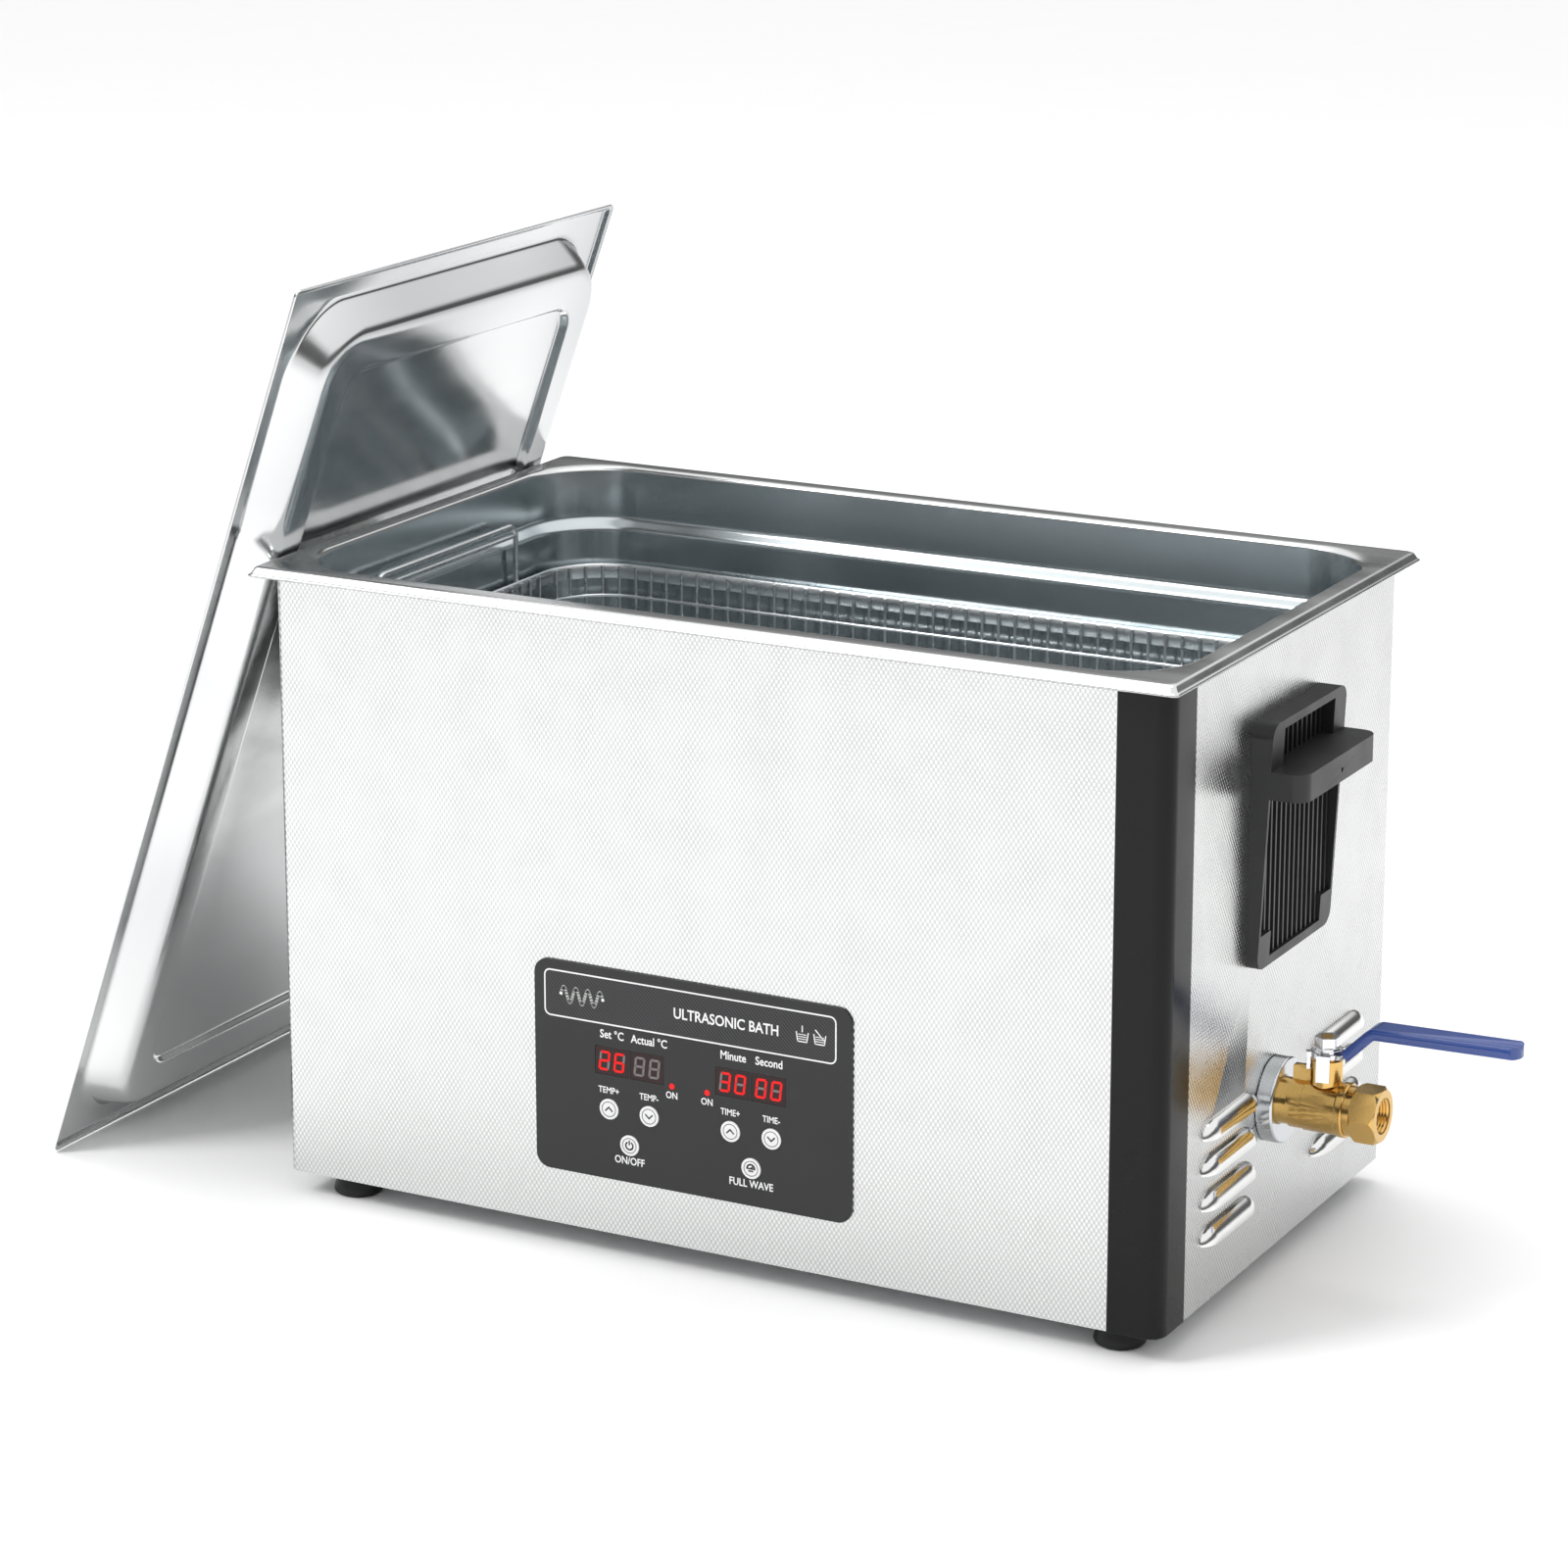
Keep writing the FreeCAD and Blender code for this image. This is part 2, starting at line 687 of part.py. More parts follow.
def basket_floor_mesh():
    """The floor: a ring wire, cross wires and runners."""
    ring_x, ring_y, corner = wire_line()
    low = basket_floor - wire_radius
    outer = slab(ring_x + wire_radius, ring_y + wire_radius, corner + wire_radius, low - wire_radius, basket_floor)
    inner = slab(ring_x - wire_radius, ring_y - wire_radius, corner - wire_radius, low - 2, low + 2)
    wires = [outer.cut(inner)]
    half_run = ring_x - corner
    reach = ring_y - 0.5 * wire_radius
    for x in wire_steps(half_run):
        wires.append(rod(wire_radius, (x, -reach, low), (x, reach, low)))
    runner_drop = 1.6 * wire_radius
    for y in (-90, -45, 0, 45, 90):
        reach_x = ring_x - 0.5 * wire_radius
        wires.append(rod(wire_radius, (-reach_x, y, low - runner_drop), (reach_x, y, low - runner_drop)))
    return wires[0].multiFuse(wires[1:])


def basket_handles():
    """A double-bar bail at each end of the basket."""
    x = basket_half_length + bail_rod
    points = [(x, -bail_half_span, bail_foot), (x, -bail_half_span, bail_top),
              (x, bail_half_span, bail_top), (x, bail_half_span, bail_foot)]
    bail = bent_rod(points, bail_bend, bail_rod)
    low = bail_top - bail_grip_drop
    grip = rod(bail_rod * 0.8, (x, -bail_half_span, low), (x, bail_half_span, low))
    return Part.makeCompound(both_ends(fuse([bail, grip])))


def basket_feet():
    """Two bent wire runners that hold the basket off the tank floor."""
    feet = []
    top = basket_floor - 2.6 * wire_radius - basket_foot_radius - 0.9
    low = tank_floor + basket_foot_radius + 0.4
    for x in (-150.0, 150.0):
        half = basket_foot_half_span
        points = [(x, -half - 22, top), (x, -half, low), (x, half, low), (x, half + 22, top)]
        feet.append(bent_rod(points, 8.0, basket_foot_radius))
    return Part.makeCompound(feet)


# ---------------------------------------------------------------- control panel
def control_panel():
    """The front plate, with openings for the displays, lamps and keys."""
    width = panel_right - panel_left
    height = panel_high - panel_low
    plate = slab(width / 2, height / 2, panel_round, 0, panel_thick)
    plate.rotate(Vector(0, 0, 0), Vector(1, 0, 0), 90)
    plate.translate(Vector((panel_left + panel_right) / 2, -half_depth, (panel_low + panel_high) / 2))
    front = -half_depth - panel_thick
    cuts = []
    for left in display_lefts:
        cuts.append(box(left, left + display_width, front - 1, -half_depth + 1, display_low, display_low + display_height))
    for x, z in led_places:
        cuts.append(rod(led_radius + 0.1, (x, front - 1, z), (x, -half_depth + 1, z)))
    for x, z in key_places.values():
        cuts.append(rod(key_radius + key_gap, (x, front - 1, z), (x, -half_depth + 1, z)))
    return plate.cut(cuts)


def display_windows():
    """Four tinted windows, a little behind the front of the plate."""
    back = -half_depth + 0.3
    front = -half_depth - panel_thick + 0.15
    gap = 0.1
    panes = []
    for left in display_lefts:
        panes.append(box(left + gap, left + display_width - gap, front, back,
                         display_low + gap, display_low + display_height - gap))
    return Part.makeCompound(panes)


def display_modules():
    """Two-digit numeral modules behind the windows."""
    modules = []
    for left in display_lefts:
        modules.append(box(left + 0.6, left + display_width - 0.6, -half_depth + 0.5, -half_depth + board_gap,
                           display_low + 0.6, display_low + display_height - 0.6))
    return Part.makeCompound(modules)


def indicator_lenses():
    """Two round lamp lenses with their stems down to the board."""
    lenses = []
    for x, z in led_places:
        front = -half_depth - panel_thick - 0.1
        lenses.append(rod(led_radius, (x, front, z), (x, -half_depth + board_gap, z)))
    return Part.makeCompound(lenses)


def push_key(x, z):
    """A round key with the stem that presses its switch."""
    front = -half_depth - panel_thick - key_proud
    cap = rod(key_radius, (x, front, z), (x, -half_depth + 0.6, z))
    stem = rod(1.7, (x, -half_depth + 0.4, z), (x, -half_depth + board_gap - 2.8, z))
    cap_edge = [edge for edge in cap.Edges if edge.BoundBox.YMax < front + 0.01]
    return fuse([cap.makeFillet(0.2, cap_edge), stem])


def key_switches():
    """Six small switches on the board, each clear of its key by the key's travel."""
    switches = []
    for x, z in key_places.values():
        face = -half_depth + board_gap - 2.0
        switches.append(box(x - 3, x + 3, face, -half_depth + board_gap, z - 3, z + 3))
    return Part.makeCompound(switches)


def control_board():
    """The circuit board behind the panel, on four posts from the panel's back."""
    back = -half_depth + board_gap
    board = box(-86, 74, back, back + board_thick, 53, 123)
    posts = []
    for x in (-82, 70):
        for z in (57, 119):
            posts.append(rod(2.5, (x, -half_depth + 0.05, z), (x, back + 0.5, z)))
    return fuse([board] + posts)


# ---------------------------------------------------------------- side handles
def side_handle():
    """The moulded handle on the right end: a ribbed plate with a grip across it."""
    wall = half_length
    outline = [(wall, handle_low), (wall + handle_depth_low, handle_low), (wall + handle_depth_high, handle_high),
               (wall, handle_high)]
    block = prism_along_y(outline, -handle_half_width, handle_half_width)
    middle_z = (handle_low + handle_high) / 2
    trim = slab((handle_high - handle_low) / 2, handle_half_width, handle_round, 0, 40)
    trim.rotate(Vector(0, 0, 0), Vector(0, 1, 0), 90)
    trim.translate(Vector(wall - 1, 0, middle_z))
    block = block.common(trim)
    grip = box(wall + 1, wall + grip_reach, -handle_half_width, handle_half_width, grip_low, grip_high)
    outer = [edge for edge in grip.Edges if edge.BoundBox.XMin > wall + grip_reach - 0.01]
    upright = [edge for edge in outer if edge.BoundBox.ZLength > 5]
    grip = grip.makeFillet(handle_round, upright)
    block = fuse([block, grip])
    back = 2.2
    deep = wall + back
    far = wall + 40
    upper = box(deep, far, -33.5, 33.5, grip_high, handle_high - 4.6)
    side_wall = 2.2
    tab = 15.5
    lower = box(deep, far, -handle_half_width + side_wall, handle_half_width - side_wall, 195, grip_low)
    middle = box(deep, far, -handle_half_width + tab, handle_half_width - tab, handle_low + 5, 196)
    under = box(wall + handle_depth_high - 4, wall + grip_reach - 5, -handle_half_width + 5, handle_half_width - 5,
                grip_low - 1, grip_low + 7)
    hole = rod(1.3, (wall + grip_reach - 4, 0, 273.6), (wall + grip_reach + 1, 0, 273.6))
    block = block.cut([upper, lower, middle, under, hole])
    for y, z in handle_screw_places:
        block = block.cut(rod(1.95, (wall - 1, y, z), (wall + 2.1, y, z)))
    ribs = []
    rib_height = 2.6
    for index in range(rib_count):
        y = (index - (rib_count - 1) / 2) * rib_pitch
        low = handle_low + 5 if abs(y) < handle_half_width - tab else 194.5
        ribs.append(box(deep - 0.5, deep + rib_height, y - rib_thick / 2, y + rib_thick / 2, low - 0.5, grip_low + 0.5))
        if abs(y) < 33:
            ribs.append(box(deep - 0.5, deep + rib_height, y - rib_thick / 2, y + rib_thick / 2,
                            grip_high - 0.5, handle_high - 4))
    return fuse([block] + ribs)


def side_handle_screws():
    """Four screws through each end wall into the handle, from inside."""
    screws = []
    inside = half_length - sheet
    for y, z in handle_screw_places:
        head = rod(3.8, (inside - 2.6, y, z), (inside, y, z))
        shank = rod(1.9, (inside - 1, y, z), (half_length + 2.0, y, z))
        screws += both_ends(fuse([head, shank]))
    return Part.makeCompound(screws)


# ---------------------------------------------------------------- drain valve
def valve_point(along, across, up):
    """A point in the row's frame from one on the valve: along its axis, across it and above it."""
    return (half_length + along, valve_y + across, valve_z + up)


def on_valve(profile):
    """A part turned about the valve's axis."""
    return turned(profile, valve_point(0, 0, 0), (1, 0, 0))


def drain_ring():
    """The steel ring between the wall and the valve."""
    return on_valve([(0.05, pipe_radius + 0.3), (0.05, ring_radius - 0.6), (0.6, ring_radius),
                     (ring_length - 0.8, ring_radius), (ring_length, ring_radius - 0.8), (ring_length, pipe_radius + 0.3)])


def valve_body():
    """The cast body: barrel, ball cavity, neck and stop lug."""
    barrel = on_valve([(ring_length, 0), (ring_length, 12.2), (12.0, 12.2), (12.4, 13.1), (20.0, 13.1),
                       (20.3, body_radius), (38.6, body_radius), (39.4, 14.3), (42.4, 14.3), (body_end, 13.7),
                       (body_end, 0)])
    neck = rod(neck_radius, valve_point(stem_at, 0, 13.0), valve_point(stem_at, 0, neck_top))
    waist = rod(6.8, valve_point(stem_at, 0, 4.0), valve_point(stem_at, 0, 14.0))
    low = valve_point(12.4, -2.4, 11.0)
    high = valve_point(stem_at - 6, 2.4, 20.5)
    lug = box(low[0], high[0], low[1], high[1], low[2], high[2])
    whole = fuse([barrel, neck, waist, lug])
    inlet = on_valve([(ring_length - 1, 0), (ring_length - 1, pipe_radius + 0.05), (14.0, pipe_radius + 0.05),
                      (14.0, port_radius), (cavity_start, port_radius), (cavity_start, cavity_radius),
                      (body_end + 1, cavity_radius), (body_end + 1, 0)])
    stem_hole = rod(stem_radius + running_clearance, valve_point(stem_at, 0, 3.0), valve_point(stem_at, 0, neck_top + 1))
    return whole.cut([inlet, stem_hole])


def valve_end():
    """The hexagonal end piece with the threaded mouth."""
    tube_part = on_valve([(39.6, port_radius), (39.6, cavity_radius - 0.05), (body_end + 0.05, cavity_radius - 0.05),
                          (body_end + 0.05, 13.0), (47.6, 13.0), (47.6, port_radius)])
    bar = hexagon(hex_flats, 47.0, valve_length)
    bar.Placement = Placement(Vector(*valve_point(0, 0, 0)), Rotation(Vector(0, 0, 1), Vector(1, 0, 0)))
    corner = hex_flats / math.sqrt(3)
    trim = on_valve([(46.5, 0), (46.5, 13.4), (49.0, corner + 0.1), (valve_length - 2.4, corner + 0.1),
                     (valve_length, 13.4), (valve_length, 0)])
    hole = on_valve([(30, 0), (30, port_radius), (valve_length - mouth_depth, port_radius),
                     (valve_length - mouth_depth, mouth_radius), (valve_length + 1, mouth_radius), (valve_length + 1, 0)])
    return fuse([tube_part, bar.common(trim)]).cut(hole)


def valve_ball():
    """The bored ball with a slot for the stem's tongue."""
    centre = Vector(*valve_point(stem_at, 0, 0))
    ball = Part.makeSphere(ball_radius, centre)
    bore = rod(port_radius - 1.0, valve_point(stem_at - 12, 0, 0), valve_point(stem_at + 12, 0, 0))
    slot_low = valve_point(stem_at - 5, -1.3, 7.4)
    slot_high = valve_point(stem_at + 5, 1.3, 12)
    slot = box(slot_low[0], slot_high[0], slot_low[1], slot_high[1], slot_low[2], slot_high[2])
    return ball.cut([bore, slot])


def valve_seats():
    """Two seat rings, hollowed to the ball with running clearance."""
    clear_ball = Part.makeSphere(ball_radius + running_clearance, Vector(*valve_point(stem_at, 0, 0)))
    seats = []
    for start, end in ((cavity_start + 0.05, 24.2), (35.0, 39.55)):
        ring = tube(cavity_radius - 0.1, port_radius, valve_point(start, 0, 0), valve_point(end, 0, 0))
        seats.append(ring.cut(clear_ball))
    return Part.makeCompound(seats)


def valve_stem():
    """The stem: a tongue in the ball, a shaft in the neck and a threaded top."""
    low = valve_point(stem_at - 3.4, -1.1, 7.6)
    high = valve_point(stem_at + 3.4, 1.1, 10.5)
    tongue = box(low[0], high[0], low[1], high[1], low[2], high[2])
    shaft = rod(stem_radius, valve_point(stem_at, 0, 9.8), valve_point(stem_at, 0, neck_top + 1.5))
    tongue = tongue.common(rod(stem_radius, valve_point(stem_at, 0, 0), valve_point(stem_at, 0, 30)))
    top = rod(3.2, valve_point(stem_at, 0, neck_top), valve_point(stem_at, 0, 38.4))
    return fuse([tongue, shaft, top])


def lever_path():
    """The corners of the lever's bent centre line, from the stem outwards."""
    middle = lever_plate_low + lever_plate_thick / 2
    return [valve_point(stem_at, 0, middle), valve_point(stem_at + lever_bend_start, 0, middle),
            valve_point(stem_at + lever_bend_end, 0, middle + lever_rise),
            valve_point(stem_at + lever_tip, 0, middle + lever_rise + 1.6)]


def round_ended(strip, half_width, length):
    """The strip with its far end cut to a half circle, at a given length from the stem."""
    centre = valve_point(stem_at + length - half_width, 0, 0)
    square = box(half_length, centre[0], valve_y - 20, valve_y + 20, centre[2], centre[2] + 80)
    end = rod(half_width, centre, (centre[0], centre[1], centre[2] + 80))
    return strip.common(fuse([square, end]))


def lever_strip():
    """The bent steel strip, from the stem to inside the grip's end."""
    strip = bent_strip(lever_path(), lever_bend, lever_plate_thick, strip_width, 0.4)
    return round_ended(strip, strip_width / 2, lever_tip - 4)


def lever_plate():
    """The steel lever: a washer-like plate with stop tabs, and the bent strip inside the grip."""
    low = lever_plate_low
    plate = rod(8.6, valve_point(stem_at, 0, low), valve_point(stem_at, 0, low + lever_plate_thick))
    tabs = []
    for turn, drop, width in ((280, 11.5, 7.0), (208, 6.6, 4.0), (62, 6.6, 4.0)):
        tab = box(8.7, 10.5, -width / 2, width / 2, low - drop, low + lever_plate_thick)
        bridge = box(5, 9.5, -width / 2, width / 2, low, low + lever_plate_thick)
        piece = fuse([tab, bridge])
        piece.rotate(Vector(0, 0, 0), Vector(0, 0, 1), turn)
        piece.translate(Vector(half_length + stem_at, valve_y, valve_z))
        tabs.append(piece)
    stem_hole = rod(3.2, valve_point(stem_at, 0, low - 1), valve_point(stem_at, 0, low + 4))
    return fuse([plate, lever_strip()] + tabs).cut(stem_hole)


def lever_grip():
    """The dipped plastic sleeve on the lever, hollowed by the strip inside it."""
    path = lever_path()
    rise_start = Vector(*path[1])
    rise = Vector(*path[2]) - rise_start
    start = rise_start + rise * 0.14
    points = [(start.x, start.y, start.z), path[2], path[3]]
    sleeve = bent_strip(points, lever_bend, grip_thick, grip_width, 2.4)
    return round_ended(sleeve, grip_width / 2, lever_tip).cut(lever_strip())


def lever_nut():
    """The washer and the flanged nut that hold the lever on the stem."""
    base = lever_plate_low + lever_plate_thick
    washer = rod(7.6, valve_point(stem_at, 0, base), valve_point(stem_at, 0, base + 1.4))
    flange = rod(7.0, valve_point(stem_at, 0, base + 1.4), valve_point(stem_at, 0, base + 2.6))
    nut = hexagon(11.5, 0, 5.4)
    nut.translate(Vector(*valve_point(stem_at, 0, base + 2.4)))
    hole = rod(3.2, valve_point(stem_at, 0, base - 1), valve_point(stem_at, 0, base + 10))
    return fuse([washer, flange, nut]).cut(hole)


def drain_pipe():
    """The pipe from the tank floor to the valve."""
    top = tank_floor - sheet - 3.2
    points = [(200, valve_y, top), (200, valve_y, valve_z), (half_length + 13.9, valve_y, valve_z)]
    outer = bent_rod(points, 18.0, pipe_radius)
    inner = bent_rod(points, 18.0, port_radius)
    return outer.cut(inner)


def drain_flange():
    """The outlet fitting clamped through the tank floor."""
    return turned([(-3.1, port_radius), (-3.1, 16.0), (0.0, 16.0), (0.0, port_radius)],
                  (200, valve_y, tank_floor - sheet), (0, 0, 1))


# ---------------------------------------------------------------- inside
def transducer_places():
    """The centre of each transducer under the tank."""
    places = []
    for column in range(transducer_columns):
        for row in range(transducer_rows):
            x = (column - (transducer_columns - 1) / 2) * transducer_pitch_x
            y = (row - (transducer_rows - 1) / 2) * transducer_pitch_y
            places.append((x, y))
    return places


def stack_of(profile):
    """One turned piece under the tank at each transducer."""
    top = tank_floor - sheet
    return Part.makeCompound([turned(profile, (x, y, top), (0, 0, -1)) for x, y in transducer_places()])


def heater_pads():
    """Two silicone heater pads on the tank's long walls."""
    pads = []
    lean = math.degrees(math.atan(tank_taper / (shoulder_top - shoulder_drop - tank_floor)))
    pad = box(-120, 120, 0, 1.4, 0, 60)
    pad.rotate(Vector(0, 0, 0), Vector(1, 0, 0), -lean)
    wall_y = opening_half_depth + sheet - shoulder_step - tank_taper + 0.6
    pad.translate(Vector(0, wall_y + 1.0, 188))
    pads.append(pad)
    pads.append(pad.mirror(Vector(0, 0, 0), Vector(0, 1, 0)))
    return Part.makeCompound(pads)


def temperature_sensor():
    """The sensor block under the tank floor."""
    top = tank_floor - sheet - 0.1
    block = box(120, 132, -6, 6, top - 8, top)
    lead = rod(1.6, (126, 0, top - 24), (126, 0, top - 7))
    return fuse([block, lead])


def generator_board():
    """The ultrasonic generator's board, with its capacitors, on four posts."""
    board = box(-190, -30, -110, 30, 32, 33.6)
    pieces = [board]
    for x in (-184, -36):
        for y in (-104, 24):
            pieces.append(rod(3.0, (x, y, foot_height + 1.7), (x, y, 32.5)))
    for x, y, radius, height in ((-160, -80, 11, 34), (-130, -80, 11, 34), (-60, -84, 9, 22), (-60, 4, 6, 16)):
        pieces.append(rod(radius, (x, y, 33), (x, y, 33 + height)))
    pieces.append(box(-110, -84, -40, 0, 33, 52))
    return fuse(pieces)


def heat_sinks():
    """Two finned heat sinks beside the board's power transistors."""
    sinks = []
    for y in (-60.0, -10.0):
        base = box(-184, -128, y + 14, y + 17, 33.8, 62)
        fins = [box(-184 + 8 * k, -182.2 + 8 * k, y + 4, y + 14.5, 33.8, 62) for k in range(8)]
        sinks.append(fuse([base] + fins))
    return Part.makeCompound(sinks)


def mains_transformer():
    """The wound transformer on the base, with its clamp bolt."""
    core = tube(34, 12, (40, -60, 18), (40, -60, 52))
    bolt = rod(3, (40, -60, 15.8), (40, -60, 58))
    cap = rod(26, (40, -60, 52), (40, -60, 54))
    return fuse([core, bolt, cap])


def fan_frame():
    """The cooling fan's square frame with its hub and struts."""
    back = half_depth - sheet
    front = back - fan_depth
    frame = box(fan_x - fan_size / 2, fan_x + fan_size / 2, front, back, fan_z - fan_size / 2, fan_z + fan_size / 2)
    duct = rod(fan_size / 2 - 2, (fan_x, front - 1, fan_z), (fan_x, back + 1, fan_z))
    frame = frame.cut(duct)
    hub = rod(16, (fan_x, front, fan_z), (fan_x, front + 5, fan_z))
    pin = rod(1.5, (fan_x, front + 4, fan_z), (fan_x, back - 4, fan_z))
    struts = []
    for turn in (45, 135, 225, 315):
        strut = box(14, fan_size / 2 - 1, front, front + 3.5, -2, 2)
        strut.rotate(Vector(0, 0, 0), Vector(0, 1, 0), turn)
        strut.translate(Vector(fan_x, 0, fan_z))
        struts.append(strut)
    holes = []
    for x_side in (-1, 1):
        for z_side in (-1, 1):
            x = fan_x + x_side * 35.75
            z = fan_z + z_side * 35.75
            holes.append(rod(1.6, (x, front - 1, z), (x, back + 1, z)))
    return fuse([frame, hub, pin] + struts).cut(holes)


def fan_impeller():
    """Seven blades on a hub that turns on the frame's pin."""
    back = half_depth - sheet
    front = back - fan_depth
    hub = rod(15.5, (fan_x, front + 6, fan_z), (fan_x, back - 3, fan_z))
    blades = [hub]
    for index in range(7):
        blade = box(13, 36.5, -0.9, 0.9, -8.5, 8.5)
        blade.rotate(Vector(0, 0, 0), Vector(1, 0, 0), 38)
        blade.rotate(Vector(0, 0, 0), Vector(0, 0, 1), index * 360 / 7)
        blade.rotate(Vector(0, 0, 0), Vector(1, 0, 0), -90)
        blade.translate(Vector(fan_x, (front + back) / 2 + 1.5, fan_z))
        blades.append(blade)
    pin_hole = rod(1.5 + running_clearance, (fan_x, front, fan_z), (fan_x, back - 3.9, fan_z))
    return fuse(blades).cut(pin_hole)


def fan_guard():
    """The wire guard over the fan opening, with four eyes."""
    y = half_depth + 1.3
    pieces = []
    for radius in (10, 17, 24, 31, 38):
        pieces.append(Part.makeTorus(radius, 1.0, Vector(fan_x, y + 0.4, fan_z), Vector(0, 1, 0)))
    reach = 35.75
    for x_side in (-1, 1):
        for z_side in (-1, 1):
            start = (fan_x + x_side * 6.4, y, fan_z + z_side * 6.4)
            end = (fan_x + x_side * (reach - 2.4), y, fan_z + z_side * (reach - 2.4))
            pieces.append(rod(1.1, start, end))
            centre_x = fan_x + x_side * reach
            centre_z = fan_z + z_side * reach
            pieces.append(tube(4.4, 2.4, (centre_x, y - 1.1, centre_z), (centre_x, y + 1.1, centre_z)))
    return fuse(pieces)


def fan_screws():
    """Four screws through the guard and the back wall into the fan."""
    screws = []
    for x_side in (-1, 1):
        for z_side in (-1, 1):
            x = fan_x + x_side * 35.75
            z = fan_z + z_side * 35.75
            head = rod(3.6, (x, half_depth + 2.5, z), (x, half_depth + 4.7, z))
            shank = rod(1.5, (x, half_depth - 14, z), (x, half_depth + 2.6, z))
            screws.append(fuse([head, shank]))
    return screws


def mains_inlet():
    """The three-pin mains inlet on the back wall."""
    flange = box(inlet_x - 25, inlet_x + 25, half_depth + 0.05, half_depth + 3, inlet_z - 14, inlet_z + 14)
    upright = [edge for edge in flange.Edges if edge.BoundBox.YLength > 2]
    flange = flange.makeFillet(5.0, upright)
    body = box(inlet_x - 13.5, inlet_x + 13.5, half_depth - 16, half_depth + 1, inlet_z - 10, inlet_z + 10)
    cavity = box(inlet_x - 12, inlet_x + 12, half_depth - 13, half_depth + 4, inlet_z - 8.2, inlet_z + 8.2)
    corners = [edge for edge in cavity.Edges if edge.BoundBox.YLength > 5 and edge.BoundBox.ZMin > inlet_z]
    cavity = cavity.makeChamfer(4.0, corners)
    holes = [rod(1.8, (inlet_x + side * 20, half_depth - 1, inlet_z), (inlet_x + side * 20, half_depth + 4, inlet_z))
             for side in (-1, 1)]
    pins = []
    for x, z in ((-7, -2), (0, 2), (7, -2)):
        pins.append(box(inlet_x + x - 1, inlet_x + x + 1, half_depth - 22, half_depth - 3.5,
                        inlet_z + z - 2, inlet_z + z + 2))
    return fuse([fuse([flange, body]).cut([cavity] + holes)] + pins)


def rocker_frame():
    """The power switch's frame, an open box through the back wall."""
    y = half_depth
    bezel = box(rocker_x - 7.5, rocker_x + 7.5, y + 0.05, y + 2, inlet_z - 10.8, inlet_z + 10.8)
    body = box(rocker_x - 6.3, rocker_x + 6.3, y - 14, y + 1, inlet_z - 9.7, inlet_z + 9.7)
    room = box(rocker_x - 5.3, rocker_x + 5.3, y - 11, y + 3, inlet_z - 8.9, inlet_z + 8.9)
    pivots = []
    for side in (-1, 1):
        pivots.append(rod(1.0, (rocker_x + side * 5.4, y - 4, inlet_z), (rocker_x + side * 4.4, y - 4, inlet_z)))
    return fuse([fuse([bezel, body]).cut(room)] + pivots)


def power_rocker():
    """The rocker key, tilted to on."""
    y = half_depth
    outline = [(-7.8, 0.9), (0, -0.4), (7.8, 0.9), (7.4, -2.0), (4.0, -8.6), (-4.0, -8.6), (-7.4, -2.0)]
    points = [Vector(rocker_x - 5.0, y + out, inlet_z + up) for up, out in outline]
    points.append(points[0])
    rocker = Part.Face(Part.makePolygon(points)).extrude(Vector(10.0, 0, 0))
    for side in (-1, 1):
        rocker = rocker.cut(rod(1.0 + running_clearance, (rocker_x + side * 6, y - 4, inlet_z),
                                (rocker_x + side * 4.3, y - 4, inlet_z)))
    rocker.rotate(Vector(rocker_x, y - 4, inlet_z), Vector(1, 0, 0), -9)
    return rocker


def fuse_holder():
    """The screw-in fuse holder on the back wall."""
    y = half_depth
    body = rod(6.0, (fuse_x, y - 26, inlet_z), (fuse_x, y + 1, inlet_z))
    collar = rod(8.5, (fuse_x, y + 0.05, inlet_z), (fuse_x, y + 2.6, inlet_z))
    cap = rod(6.6, (fuse_x, y + 2.0, inlet_z), (fuse_x, y + 9.5, inlet_z))
    slot = box(fuse_x - 5, fuse_x + 5, y + 8.3, y + 10, inlet_z - 0.7, inlet_z + 0.7)
    return fuse([body, collar, cap]).cut(slot)


def mains_screws():
    """Two screws that hold the inlet."""
    screws = []
    for side in (-1, 1):
        x = inlet_x + side * 20
        head = rod(3.0, (x, half_depth + 3.05, inlet_z), (x, half_depth + 4.9, inlet_z))
        shank = rod(1.5, (x, half_depth + 0.1, inlet_z), (x, half_depth + 3.1, inlet_z))
        screws.append(fuse([head, shank]))
    return screws


# ---------------------------------------------------------------- write every node
write("housing_wrap", housing_wrap())
write("corner_post", corner_post())
write("base_plate", base_plate())
write("rubber_feet", rubber_feet())
write("foot_screws", foot_screws())
write("tank", tank())
write("tank_brackets", tank_brackets())

write("lid", lid())
write("lid_handle", lid_handle())
write("lid_handle_pads", lid_handle_pads())

write("basket_rim", basket_rim())
long_wall = basket_wall(True)
write("basket_long_walls", Part.makeCompound([long_wall, long_wall.mirror(Vector(0, 0, 0), Vector(0, 1, 0))]))
end_wall = basket_wall(False)
write("basket_end_walls", Part.makeCompound(both_ends(end_wall)))
write("basket_corners", basket_corners())
write("basket_floor_mesh", basket_floor_mesh())
write("basket_handles", basket_handles())
write("basket_feet", basket_feet())

write("control_panel", control_panel())
write("display_windows", display_windows())
write("display_modules", display_modules())
write("indicator_lenses", indicator_lenses())
for key_name, key_place in key_places.items():
    write(key_name, push_key(*key_place))
write("key_switches", key_switches())
write("control_board", control_board())

right_handle = side_handle()
write("side_handle_right", right_handle)
write("side_handle_left", right_handle.mirror(Vector(0, 0, 0), Vector(1, 0, 0)))
write("side_handle_screws", side_handle_screws())

